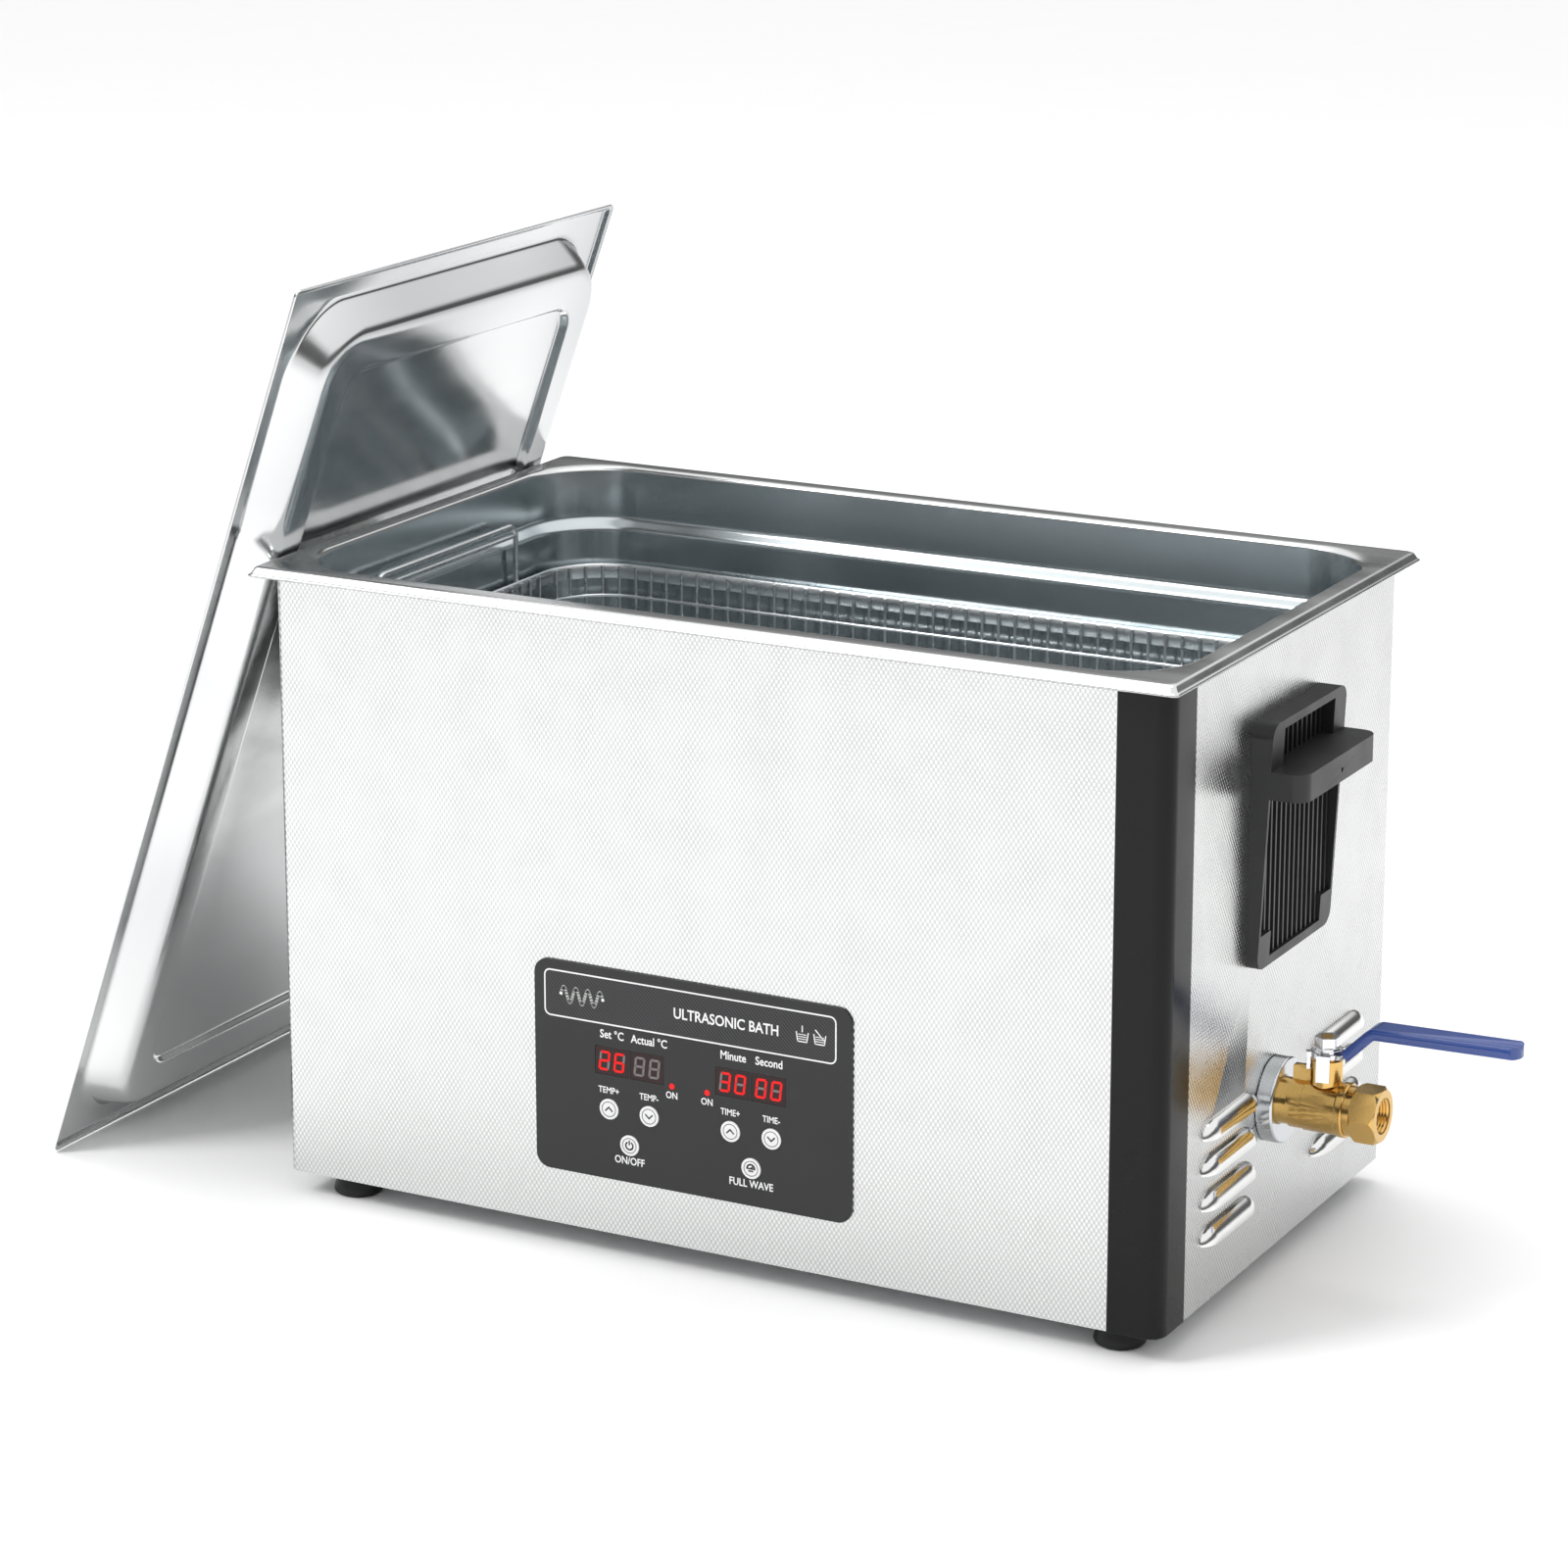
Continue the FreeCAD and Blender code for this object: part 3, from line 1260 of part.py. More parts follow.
write("drain_ring", drain_ring())
write("valve_body", valve_body())
write("valve_end", valve_end())
write("valve_ball", valve_ball())
write("valve_seats", valve_seats())
write("valve_stem", valve_stem())
write("lever_plate", lever_plate())
write("lever_grip", lever_grip())
write("lever_nut", lever_nut())
write("drain_pipe", drain_pipe())
write("drain_flange", drain_flange())

write("transducer_horns", stack_of([(0.2, 3.2), (0.2, 29.0), (8, 27.0), (26, 20.0), (26, 3.2)]))
write("transducer_crystals", stack_of([(26.1, 7.5), (26.1, 19.0), (38.0, 19.0), (38.0, 7.5)]))
write("transducer_back_masses", stack_of([(38.1, 3.2), (38.1, 19.5), (56.0, 19.5), (56.0, 3.2)]))
write("transducer_bolts", stack_of([(12, 0), (12, 3.0), (56.1, 3.0), (56.1, 6.0), (60.0, 6.0), (60.0, 0)]))
write("heater_pads", heater_pads())
write("temperature_sensor", temperature_sensor())
write("generator_board", generator_board())
write("heat_sinks", heat_sinks())
write("mains_transformer", mains_transformer())

write("fan_frame", fan_frame())
write("fan_impeller", fan_impeller())
write("fan_guard", fan_guard())
write("mains_inlet", mains_inlet())
write("rear_screws", Part.makeCompound(fan_screws() + mains_screws()))
write("rocker_frame", rocker_frame())
write("power_rocker", power_rocker())
write("fuse_holder", fuse_holder())
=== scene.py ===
"""A benchtop ultrasonic cleaner: its sheet steel, wire basket, leaning lid, panel, grips and drain valve.

Every piece is built in millimetres in the machine's own frame (the bench is z = 0, the panel faces -Y and the
drain valve +X) and is brought to metres as it is finished.
"""
import json
import logging
import math
from collections.abc import Iterable, Sequence
from dataclasses import dataclass, field
from enum import Enum

import bmesh
import bpy
from mathutils import Matrix, Vector

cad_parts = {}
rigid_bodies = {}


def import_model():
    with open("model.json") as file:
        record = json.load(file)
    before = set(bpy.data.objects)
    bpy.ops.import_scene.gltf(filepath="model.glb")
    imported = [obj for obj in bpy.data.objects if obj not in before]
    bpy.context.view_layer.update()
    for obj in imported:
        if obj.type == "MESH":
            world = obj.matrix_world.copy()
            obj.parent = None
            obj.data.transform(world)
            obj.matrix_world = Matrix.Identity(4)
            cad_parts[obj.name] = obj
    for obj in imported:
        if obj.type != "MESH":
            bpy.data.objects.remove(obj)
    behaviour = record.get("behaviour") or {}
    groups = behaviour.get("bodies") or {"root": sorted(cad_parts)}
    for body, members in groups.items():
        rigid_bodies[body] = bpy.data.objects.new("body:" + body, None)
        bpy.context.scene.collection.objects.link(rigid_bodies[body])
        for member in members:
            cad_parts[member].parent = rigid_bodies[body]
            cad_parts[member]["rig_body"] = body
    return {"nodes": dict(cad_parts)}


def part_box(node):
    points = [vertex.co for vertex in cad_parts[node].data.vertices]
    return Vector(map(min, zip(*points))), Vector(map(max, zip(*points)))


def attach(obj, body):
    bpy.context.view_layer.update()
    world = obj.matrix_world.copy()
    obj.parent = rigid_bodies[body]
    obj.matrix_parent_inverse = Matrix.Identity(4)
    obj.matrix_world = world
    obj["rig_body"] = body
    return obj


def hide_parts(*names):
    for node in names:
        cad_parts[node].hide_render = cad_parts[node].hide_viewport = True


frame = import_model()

LOG = logging.getLogger("ultrasonic_cleaner")
MM = 0.001
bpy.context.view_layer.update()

STOOD_UP = Matrix.Rotation(math.radians(90), 4, "X")

Point = tuple[float, float, float]
Colour = tuple[float, float, float]


# ---------------------------------------------------------------- sizes read from the frame
def span(node: str) -> tuple[Vector, Vector]:
    """The lowest and highest corners of a CAD node.

    Args:
        node: the CAD node's name.

    Returns:
        Both corners, in millimetres.
    """
    low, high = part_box(node)
    return low / MM, high / MM


# ---------------------------------------------------------------- finishes
# Spacing of the embossed dashes, of their rows and of the title box's slanting lines, in millimetres.
EMBOSS_PITCH = 2.65
EMBOSS_ROW = 2.0
HATCH_PITCH = 2.2


class Grain(Enum):
    """The kinds of surface that a finish can have."""

    BRUSHED = "brushed"
    EMBOSSED = "embossed"
    MOULDED = "moulded"
    CAST = "cast"
    HATCHED = "hatched"
    CLOUDED = "clouded"


class Graph:
    """The nodes of one material, added and linked in short calls."""

    def __init__(self, name: str) -> None:
        """Starts a material with one shader."""
        self.material = bpy.data.materials.new(name)
        self.material.use_nodes = True
        self.tree = self.material.node_tree
        self.shader = self.tree.nodes["Principled BSDF"]

    def add(self, kind: str, **settings: object) -> bpy.types.Node:
        """Adds a node and sets its properties.

        Args:
            kind: the node's type.
            settings: its properties' values, by name.

        Returns:
            The node.
        """
        node = self.tree.nodes.new(kind)
        for name, value in settings.items():
            setattr(node, name, value)
        return node

    def feed(self, target: bpy.types.NodeSocket, source: object) -> None:
        """Links a socket, or sets its value if the source is a number.

        Args:
            target: the input socket.
            source: an output socket, or a number.
        """
        if isinstance(source, bpy.types.NodeSocket):
            self.tree.links.new(source, target)
        else:
            target.default_value = source

    def maths(self, operation: str, first: object, second: object = 0.0) -> bpy.types.NodeSocket:
        """One sum, product or other operation on two values.

        Args:
            operation: what is worked out.
            first: a socket or a number.
            second: the other one, for an operation that has two.

        Returns:
            The result's socket.
        """
        node = self.add("ShaderNodeMath", operation=operation)
        self.feed(node.inputs[0], first)
        self.feed(node.inputs[1], second)
        return node.outputs[0]

    def place(self, stretch: Point = (1.0, 1.0, 1.0), turn: Point = (0.0, 0.0, 0.0)) -> bpy.types.NodeSocket:
        """The piece's own coordinates, stretched and turned.

        Args:
            stretch: the scale along each axis.
            turn: the turn about each axis, in radians.

        Returns:
            The coordinates' socket.
        """
        source = self.add("ShaderNodeTexCoord").outputs["Object"]
        mapping = self.add("ShaderNodeMapping")
        self.feed(mapping.inputs["Vector"], source)
        mapping.inputs["Rotation"].default_value = turn
        mapping.inputs["Scale"].default_value = stretch
        return mapping.outputs["Vector"]

    def noise(self, place: bpy.types.NodeSocket, scale: float, detail: float = 3.0) -> bpy.types.NodeSocket:
        """Cloudy values from 0 to 1.

        Args:
            place: the coordinates they follow.
            scale: how many clouds fit a metre.
            detail: how many finer layers are added.

        Returns:
            The values' socket.
        """
        node = self.add("ShaderNodeTexNoise")
        self.feed(node.inputs["Vector"], place)
        node.inputs["Scale"].default_value = scale
        node.inputs["Detail"].default_value = detail
        return node.outputs["Fac"]

    def ramp(self, value: object, low: float, high: float, start: float = 0.0,
             end: float = 1.0) -> bpy.types.NodeSocket:
        """Values between start and end brought to between low and high.

        Args:
            value: a socket or a number.
            low: the result at start.
            high: the result at end.
            start: the value that becomes low.
            end: the value that becomes high.

        Returns:
            The result's socket.
        """
        node = self.add("ShaderNodeMapRange")
        self.feed(node.inputs["Value"], value)
        node.inputs["From Min"].default_value = start
        node.inputs["From Max"].default_value = end
        node.inputs["To Min"].default_value = low
        node.inputs["To Max"].default_value = high
        return node.outputs["Result"]

    def tint(self, share: bpy.types.NodeSocket, first: Colour, second: Colour) -> bpy.types.NodeSocket:
        """A colour between two, by share.

        Args:
            share: 0 for the first colour and 1 for the second.
            first: a colour.
            second: the other one.

        Returns:
            The colour's socket.
        """
        node = self.add("ShaderNodeMix", data_type="RGBA")
        self.feed(node.inputs["Factor"], share)
        node.inputs["A"].default_value = (*first, 1.0)
        node.inputs["B"].default_value = (*second, 1.0)
        return node.outputs["Result"]

    def relief(self, height: bpy.types.NodeSocket, depth: float) -> None:
        """Gives the surface a relief.

        Args:
            height: the relief's pattern, from 0 to 1.
            depth: its depth, in millimetres.
        """
        node = self.add("ShaderNodeBump")
        node.inputs["Strength"].default_value = 1.0
        node.inputs["Distance"].default_value = depth * MM
        self.feed(node.inputs["Height"], height)
        self.feed(self.shader.inputs["Normal"], node.outputs["Normal"])


@dataclass(frozen=True)
class Finish:
    """What a surface is made of and how it was worked."""

    name: str
    colour: Colour
    roughness: float
    metallic: float = 0.0
    grain: Grain = Grain.MOULDED
    relief: float = 0.02
    scale: float = 900.0
    spread: float = 0.06
    second: Colour | None = None
    along: Point = (1.0, 1.0, 1.0)
    coat: float = 0.0
    glow: float = 0.0
    sheen: float = 0.5

    def material(self) -> bpy.types.Material:
        """The finish's material, made once."""
        found = bpy.data.materials.get("look_" + self.name)
        if found:
            return found
        graph = Graph("look_" + self.name)
        shader = graph.shader
        shader.inputs["Metallic"].default_value = self.metallic
        shader.inputs["Specular IOR Level"].default_value = self.sheen
        shader.inputs["Coat Weight"].default_value = self.coat
        shader.inputs["Coat Roughness"].default_value = 0.08
        if self.glow:
            shader.inputs["Emission Color"].default_value = (*self.colour, 1.0)
            shader.inputs["Emission Strength"].default_value = self.glow
        height = self.pattern(graph)
        second = self.second or tuple(0.9 * channel for channel in self.colour)
        tint_share = graph.noise(graph.place(), 14.0, 2.0)
        # Embossed steel takes its colour from the relief's height: the darker second colour between the raised
        # dashes is painted shade. The title field's darker slanting lines are print.
        if self.grain in (Grain.EMBOSSED, Grain.HATCHED):
            tint_share = height
        if self.grain is Grain.CLOUDED:
            tint_share = graph.ramp(graph.noise(graph.place((1.0, 0.55, 0.8)), 6.0, 1.0), 0.0, 1.0, 0.38, 0.66)
        graph.feed(shader.inputs["Base Color"], graph.tint(tint_share, second, self.colour))
        worn = graph.noise(graph.place(self.along), 40.0, 4.0)
        low = max(self.roughness - self.spread, 0.02)
        graph.feed(shader.inputs["Roughness"], graph.ramp(worn, low, self.roughness + self.spread, 0.3, 0.7))
        graph.relief(height, self.relief)
        return graph.material

    def pattern(self, graph: Graph) -> bpy.types.NodeSocket:
        """The height pattern of the finish's grain, from 0 to 1.

        Args:
            graph: the material that the pattern's nodes go into.

        Returns:
            The pattern's value socket.
        """
        if self.grain is Grain.EMBOSSED:
            return self.embossing(graph)
        if self.grain is Grain.HATCHED:
            return self.hatching(graph)
        if self.grain in (Grain.BRUSHED, Grain.CLOUDED):
            return graph.noise(graph.place(self.along), self.scale, 2.0)
        if self.grain is Grain.CAST:
            fine = graph.noise(graph.place(), self.scale, 5.0)
            coarse = graph.noise(graph.place(), self.scale / 6, 2.0)
            return graph.maths("MULTIPLY", graph.maths("ADD", fine, coarse), 0.5)
        return graph.noise(graph.place(), self.scale, 2.0)

    def embossing(self, graph: Graph) -> bpy.types.NodeSocket:
        """Staggered rows of small raised dashes, on all four upright faces; the material also uses them to
        darken the colour between the dashes, as painted shade.

        Args:
            graph: the material that the pattern's nodes go into.

        Returns:
            The pattern's value socket.
        """
        split = graph.add("ShaderNodeSeparateXYZ")
        graph.feed(split.inputs[0], graph.place())
        along = graph.maths("ADD", split.outputs["X"], split.outputs["Y"])
        across = graph.maths("COSINE", graph.maths("MULTIPLY", along, 2 * math.pi / (EMBOSS_PITCH * MM)))
        rows = graph.maths("MULTIPLY", split.outputs["Z"], math.pi / (EMBOSS_ROW * MM))
        rows = graph.maths("COSINE", rows)
        product = graph.maths("MULTIPLY", across, rows)
        return graph.ramp(product, 0.0, 1.0, -0.35, 0.75)

    def hatching(self, graph: Graph) -> bpy.types.NodeSocket:
        """Fine slanting lines on an upright face.

        Args:
            graph: the material that the pattern's nodes go into.

        Returns:
            The pattern's value socket.
        """
        split = graph.add("ShaderNodeSeparateXYZ")
        graph.feed(split.inputs[0], graph.place())
        slant = graph.maths("ADD", split.outputs["X"], split.outputs["Z"])
        wave = graph.maths("SINE", graph.maths("MULTIPLY", slant, 2 * math.pi / (HATCH_PITCH * MM)))
        return graph.ramp(wave, 0.0, 1.0, -0.3, 0.3)


# The embossed steel's darker second colour is painted shade in the gaps between its raised dashes.
EMBOSSED_STEEL_PAINTED_SHADE = Finish("embossed_steel_painted_shade", (0.80, 0.80, 0.79), 0.25, 1.0, Grain.EMBOSSED, 0.07,
                        second=(0.52, 0.53, 0.53))
RIM_STEEL = Finish("rim_steel", (0.72, 0.73, 0.73), 0.22, 1.0, Grain.BRUSHED, 0.004, 700.0, 0.05,
                   along=(0.05, 1.0, 1.0))
# The tank's steel is darker and bluer than the rim's, as painted shade inside the tank.
TANK_STEEL_PAINTED_SHADE = Finish("tank_steel", (0.62, 0.67, 0.69), 0.21, 1.0, Grain.BRUSHED, 0.004, 500.0, 0.05,
                    along=(0.06, 0.06, 1.0))
HOOD_STEEL = Finish("hood_steel", (0.80, 0.80, 0.79), 0.16, 1.0, Grain.BRUSHED, 0.004, 500.0, 0.04,
                    along=(1.0, 0.1, 1.0))
LID_STEEL = Finish("lid_steel", (0.78, 0.79, 0.79), 0.17, 1.0, Grain.CLOUDED, 0.004, 400.0, 0.05,
                   second=(0.50, 0.51, 0.52), along=(1.0, 0.08, 1.0))
WIRE_STEEL = Finish("wire_steel", (0.74, 0.76, 0.77), 0.27, 1.0, Grain.MOULDED, 0.004, 900.0)
PLAIN_STEEL = Finish("plain_steel", (0.66, 0.67, 0.68), 0.30, 1.0, Grain.BRUSHED, 0.006, 900.0,
                     along=(0.06, 1.0, 1.0))
ZINC_PLATE = Finish("zinc_plate", (0.80, 0.80, 0.82), 0.10, 1.0, Grain.MOULDED, 0.01, 700.0, 0.04)
RING_STEEL = Finish("ring_steel", (0.66, 0.68, 0.70), 0.22, 1.0, Grain.BRUSHED, 0.012, 1600.0, 0.08,
                    along=(1.0, 0.1, 0.1))
BRASS = Finish("brass", (0.80, 0.53, 0.19), 0.18, 1.0, Grain.CAST, 0.03, 900.0, 0.06,
               second=(0.58, 0.35, 0.10))
BLACK_PLASTIC = Finish("black_plastic", (0.022, 0.022, 0.023), 0.36, 0.0, Grain.MOULDED, 0.008, 1100.0, 0.05,
                       sheen=0.35)
GRIP_PLASTIC = Finish("grip_plastic", (0.026, 0.026, 0.027), 0.40, 0.0, Grain.MOULDED, 0.012, 1100.0, 0.05,
                      sheen=0.40)
POST_PLASTIC = Finish("post_plastic", (0.005, 0.005, 0.005), 0.25, 0.0, Grain.MOULDED, 0.003, 900.0, 0.04,
                      sheen=0.22)
PANEL_PLASTIC = Finish("panel_plastic", (0.028, 0.028, 0.029), 0.40, 0.0, Grain.MOULDED, 0.004, 1200.0, 0.05,
                       sheen=0.28)
TITLE_FIELD = Finish("title_field", (0.050, 0.050, 0.052), 0.40, 0.0, Grain.HATCHED, 0.01,
                     second=(0.022, 0.022, 0.023),
                     sheen=0.28)
DISPLAY_PANE = Finish("display_pane", (0.020, 0.006, 0.006), 0.12, 0.0, Grain.MOULDED, 0.004, 600.0, 0.03,
                      sheen=0.3)
WHITE_INK = Finish("white_ink", (0.86, 0.86, 0.86), 0.45, 0.0, Grain.MOULDED, 0.004, 2500.0)
WHITE_KEY = Finish("white_key", (0.80, 0.80, 0.80), 0.34, 0.0, Grain.MOULDED, 0.008, 2500.0)
KEY_MARK = Finish("key_mark", (0.035, 0.035, 0.036), 0.40, 0.0, Grain.MOULDED, 0.004, 2500.0)
LIT_SEGMENT = Finish("lit_segment", (0.80, 0.008, 0.008), 0.35, 0.0, Grain.MOULDED, 0.004, 2500.0,
                     glow=0.35, sheen=0.2)
UNLIT_SEGMENT = Finish("unlit_segment", (0.17, 0.15, 0.15), 0.35, 0.0, Grain.MOULDED, 0.004, 2500.0)
LAMP_LENS = Finish("lamp_lens", (0.85, 0.01, 0.01), 0.25, 0.0, Grain.MOULDED, 0.004, 2500.0,
                   glow=0.3, sheen=0.25)
BLUE_VINYL = Finish("blue_vinyl", (0.024, 0.066, 0.30), 0.26, 0.0, Grain.MOULDED, 0.015, 400.0, 0.05,
                    coat=0.5)
RUBBER = Finish("rubber", (0.012, 0.012, 0.013), 0.42, 0.0, Grain.MOULDED, 0.02, 900.0, sheen=0.35)
SEAT_PLASTIC = Finish("seat_plastic", (0.82, 0.82, 0.80), 0.45, 0.0, Grain.MOULDED, 0.01, 1200.0)
CIRCUIT_BOARD = Finish("circuit_board", (0.03, 0.19, 0.08), 0.35, 0.0, Grain.MOULDED, 0.03, 500.0,
                       second=(0.02, 0.12, 0.05))
ALUMINIUM = Finish("aluminium", (0.76, 0.76, 0.77), 0.28, 1.0, Grain.BRUSHED, 0.01, 1200.0,
                   along=(0.1, 0.1, 1.0))
CERAMIC = Finish("ceramic", (0.62, 0.56, 0.46), 0.5, 0.0, Grain.CAST, 0.03, 900.0)
SILICONE = Finish("silicone", (0.62, 0.16, 0.05), 0.5, 0.0, Grain.MOULDED, 0.05, 500.0)
VARNISHED_COPPER = Finish("varnished_copper", (0.55, 0.26, 0.09), 0.3, 0.6, Grain.BRUSHED, 0.05, 700.0,
                          along=(1, 1, 0.1))
FLOOR_WHITE = Finish("floor_white", (0.97, 0.97, 0.97), 0.8, 0.0, Grain.MOULDED, 0.0, 20.0,
                     second=(0.95, 0.95, 0.95), sheen=0.1)

NODE_FINISHES: dict[str, Finish] = {
    "base_plate": PLAIN_STEEL, "foot_screws": ZINC_PLATE, "tank_brackets": PLAIN_STEEL,
    "control_board": CIRCUIT_BOARD, "valve_seats": SEAT_PLASTIC,
    "drain_pipe": PLAIN_STEEL, "drain_flange": PLAIN_STEEL, "transducer_horns": ALUMINIUM,
    "transducer_crystals": CERAMIC, "transducer_back_masses": PLAIN_STEEL, "transducer_bolts": ZINC_PLATE,
    "heater_pads": SILICONE, "temperature_sensor": ALUMINIUM, "generator_board": CIRCUIT_BOARD,
    "heat_sinks": ALUMINIUM, "mains_transformer": VARNISHED_COPPER, "valve_ball": ZINC_PLATE,
    "valve_stem": BRASS,
}


# ---------------------------------------------------------------- mesh helpers
def finish_piece(name: str, bm: bmesh.types.BMesh, body: str, look: Finish, replaced: Sequence[str] = (),
                 sharp: float = 35.0, millimetres: bool = True) -> bpy.types.Object:
    """Turns a mesh into a finished piece that rides on a body.

    Args:
        name: the piece's name.
        bm: its mesh, which is freed.
        body: the CAD body it rides on.
        look: its finish.
        replaced: the CAD nodes it stands for.
        sharp: the angle in degrees past which an edge stays sharp.
        millimetres: whether the mesh still has to be brought to metres.

    Returns:
        The piece.
    """
    if millimetres:
        bmesh.ops.scale(bm, vec=(MM, MM, MM), verts=bm.verts)
    mesh = bpy.data.meshes.new(name)
    bm.to_mesh(mesh)
    bm.free()
    mesh.polygons.foreach_set("use_smooth", [True] * len(mesh.polygons))
    mesh.set_sharp_from_angle(angle=math.radians(sharp))
    mesh.materials.append(look.material())
    piece = bpy.data.objects.new(name, mesh)
    bpy.context.scene.collection.objects.link(piece)
    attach(piece, body)
    if replaced:
        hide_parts(*replaced)
    LOG.info("%s: %d faces on %s", name, len(mesh.polygons), body)
    return piece


def thicken(piece: bpy.types.Object, thickness: float) -> None:
    """Gives a skin its sheet thickness, behind its normals.

    Args:
        piece: the skin.
        thickness: the sheet's thickness, in millimetres.
    """
    sheet = piece.modifiers.new("sheet", "SOLIDIFY")
    sheet.thickness = thickness * MM
    sheet.offset = -1.0
    sheet.use_even_offset = True


def soften(piece: bpy.types.Object, width: float, segments: int = 2, angle: float = 30.0) -> None:
    """Rounds a piece's sharp edges.

    Args:
        piece: the piece.
        width: how wide the rounding is, in millimetres.
        segments: how many faces it has across it.
        angle: the angle in degrees past which an edge is sharp.
    """
    bevel = piece.modifiers.new("edges", "BEVEL")
    bevel.width = width * MM
    bevel.segments = segments
    bevel.limit_method = "ANGLE"
    bevel.angle_limit = math.radians(angle)
    bevel.harden_normals = True


def softened_node(node: str, look: Finish, width: float, segments: int = 2) -> bpy.types.Object:
    """A merged copy of a CAD node with smooth curves and rounded edges, in place of the node.

    Args:
        node: the CAD node.
        look: the copy's finish.
        width: how wide its edges are rounded, in millimetres, or 0 to leave them.
        segments: how many faces the rounding has across it.

    Returns:
        The copy.
    """
    source = frame["nodes"][node]
    bm = bmesh.new()
    bm.from_mesh(source.data)
    bmesh.ops.remove_doubles(bm, verts=bm.verts, dist=0.004 * MM)
    bmesh.ops.dissolve_limit(bm, angle_limit=math.radians(0.6), verts=bm.verts, edges=bm.edges)
    piece = finish_piece(node + "_finished", bm, source["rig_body"], look, (node,), sharp=30.0,
                         millimetres=False)
    if width:
        soften(piece, width, segments)
    return piece


@dataclass(frozen=True)
class Ring:
    """One level of a rounded-rectangle shell, in millimetres; bend is where the fold's rounding starts."""

    half_x: float
    half_y: float
    corner: float
    height: float
    bend: float = 0.0

    def mix(self, other: "Ring", share: float) -> "Ring":
        """The level a share of the way to another.

        Args:
            other: the other level.
            share: 0 for this level and 1 for the other.

        Returns:
            The level between.
        """
        rest = 1.0 - share
        return Ring(self.half_x * rest + other.half_x * share, self.half_y * rest + other.half_y * share,
                    self.corner * rest + other.corner * share, self.height * rest + other.height * share)

    def toward(self, other: "Ring", distance: float) -> "Ring":
        """The level a distance towards another, at most just under half way."""
        run = math.hypot(other.half_x - self.half_x, other.height - self.height)
        return self.mix(other, min(distance / max(run, 1e-6), 0.48))


def rounded(rings: Sequence[Ring], steps: int = 5) -> list[Ring]:
    """The levels with each fold that has a bend turned into several.

    Args:
        rings: the levels, in order.
        steps: how many faces go round a fold.

    Returns:
        The new levels, in order.
    """
    levels = [rings[0]]
    for before, here, after in zip(rings, rings[1:], rings[2:]):
        if not here.bend:
            levels.append(here)
            continue
        first = here.toward(before, here.bend)
        last = here.toward(after, here.bend)
        for step in range(steps + 1):
            share = step / steps
            levels.append(first.mix(here, share).mix(here.mix(last, share), share))
    levels.append(rings[-1])
    return levels


def set_ring(verts: Sequence[bmesh.types.BMVert], ring: Ring, steps: int) -> None:
    """Moves a loop of vertices onto a rounded rectangle about the Z axis.

    Args:
        verts: the loop, from the +X side, anticlockwise.
        ring: the rounded rectangle.
        steps: faces round each corner.
    """
    for index, vert in enumerate(verts):
        quadrant, step = divmod(index, steps + 1)
        turn = math.radians(90.0) * (quadrant + step / steps)
        side_x = 1.0 if quadrant in (0, 3) else -1.0
        side_y = 1.0 if quadrant in (0, 1) else -1.0
        vert.co = Vector((side_x * (ring.half_x - ring.corner) + ring.corner * math.cos(turn),
                          side_y * (ring.half_y - ring.corner) + ring.corner * math.sin(turn), ring.height))


def grow(bm: bmesh.types.BMesh, verts: Sequence[bmesh.types.BMVert],
         edges: Sequence[bmesh.types.BMEdge]) -> tuple[list[bmesh.types.BMVert], list[bmesh.types.BMEdge]]:
    """Extrudes a loop in place.

    Args:
        bm: the mesh that holds the loop.
        verts: the loop's vertices.
        edges: the loop's edges.

    Returns:
        The new loop's vertices, in the old loop's order, and its edges.
    """
    made = bmesh.ops.extrude_edge_only(bm, edges=edges)["geom"]
    fresh = {item for item in made if isinstance(item, bmesh.types.BMVert)}
    ordered = []
    for vert in verts:
        ends = [edge.other_vert(vert) for edge in vert.link_edges]
        ordered.append(next(end for end in ends if end in fresh))
    loop = [item for item in made if isinstance(item, bmesh.types.BMEdge) and fresh.issuperset(item.verts)]
    return ordered, loop


def loft(bm: bmesh.types.BMesh, rings: Sequence[Ring], steps: int = 10, first_cap: bool = False,
         last_cap: bool = False, closed: bool = False) -> list[bmesh.types.BMVert]:
    """Draws a shell through rounded-rectangle levels.

    Args:
        bm: the mesh to add to.
        rings: the levels, in order.
        steps: faces round each corner.
        first_cap: whether the first level is filled.
        last_cap: whether the last level is filled.
        closed: whether the last level joins the first.

    Returns:
        The vertices of every level.
    """
    made = bmesh.ops.create_circle(bm, cap_ends=first_cap, segments=4 * (steps + 1), radius=1.0)
    verts = list(made["verts"])
    whole = set(verts)
    edges = [edge for edge in bm.edges if whole.issuperset(edge.verts)]
    every = list(verts)
    set_ring(verts, rings[0], steps)
    for ring in rings[1:]:
        verts, edges = grow(bm, verts, edges)
        set_ring(verts, ring, steps)
        every += verts
    if last_cap:
        bmesh.ops.contextual_create(bm, geom=verts)
    if closed:
        bmesh.ops.remove_doubles(bm, verts=every, dist=0.001)
        every = [vert for vert in every if vert.is_valid]
    return every


def face_towards(bm: bmesh.types.BMesh, direction: Point) -> None:
    """Makes an open shell's normals agree.

    Args:
        bm: the shell.
        direction: the way that its largest flat face looks.
    """
    bmesh.ops.recalc_face_normals(bm, faces=bm.faces)
    largest = max(bm.faces, key=lambda face: face.calc_area())
    if largest.normal.dot(Vector(direction)) < 0:
        bmesh.ops.reverse_faces(bm, faces=bm.faces)


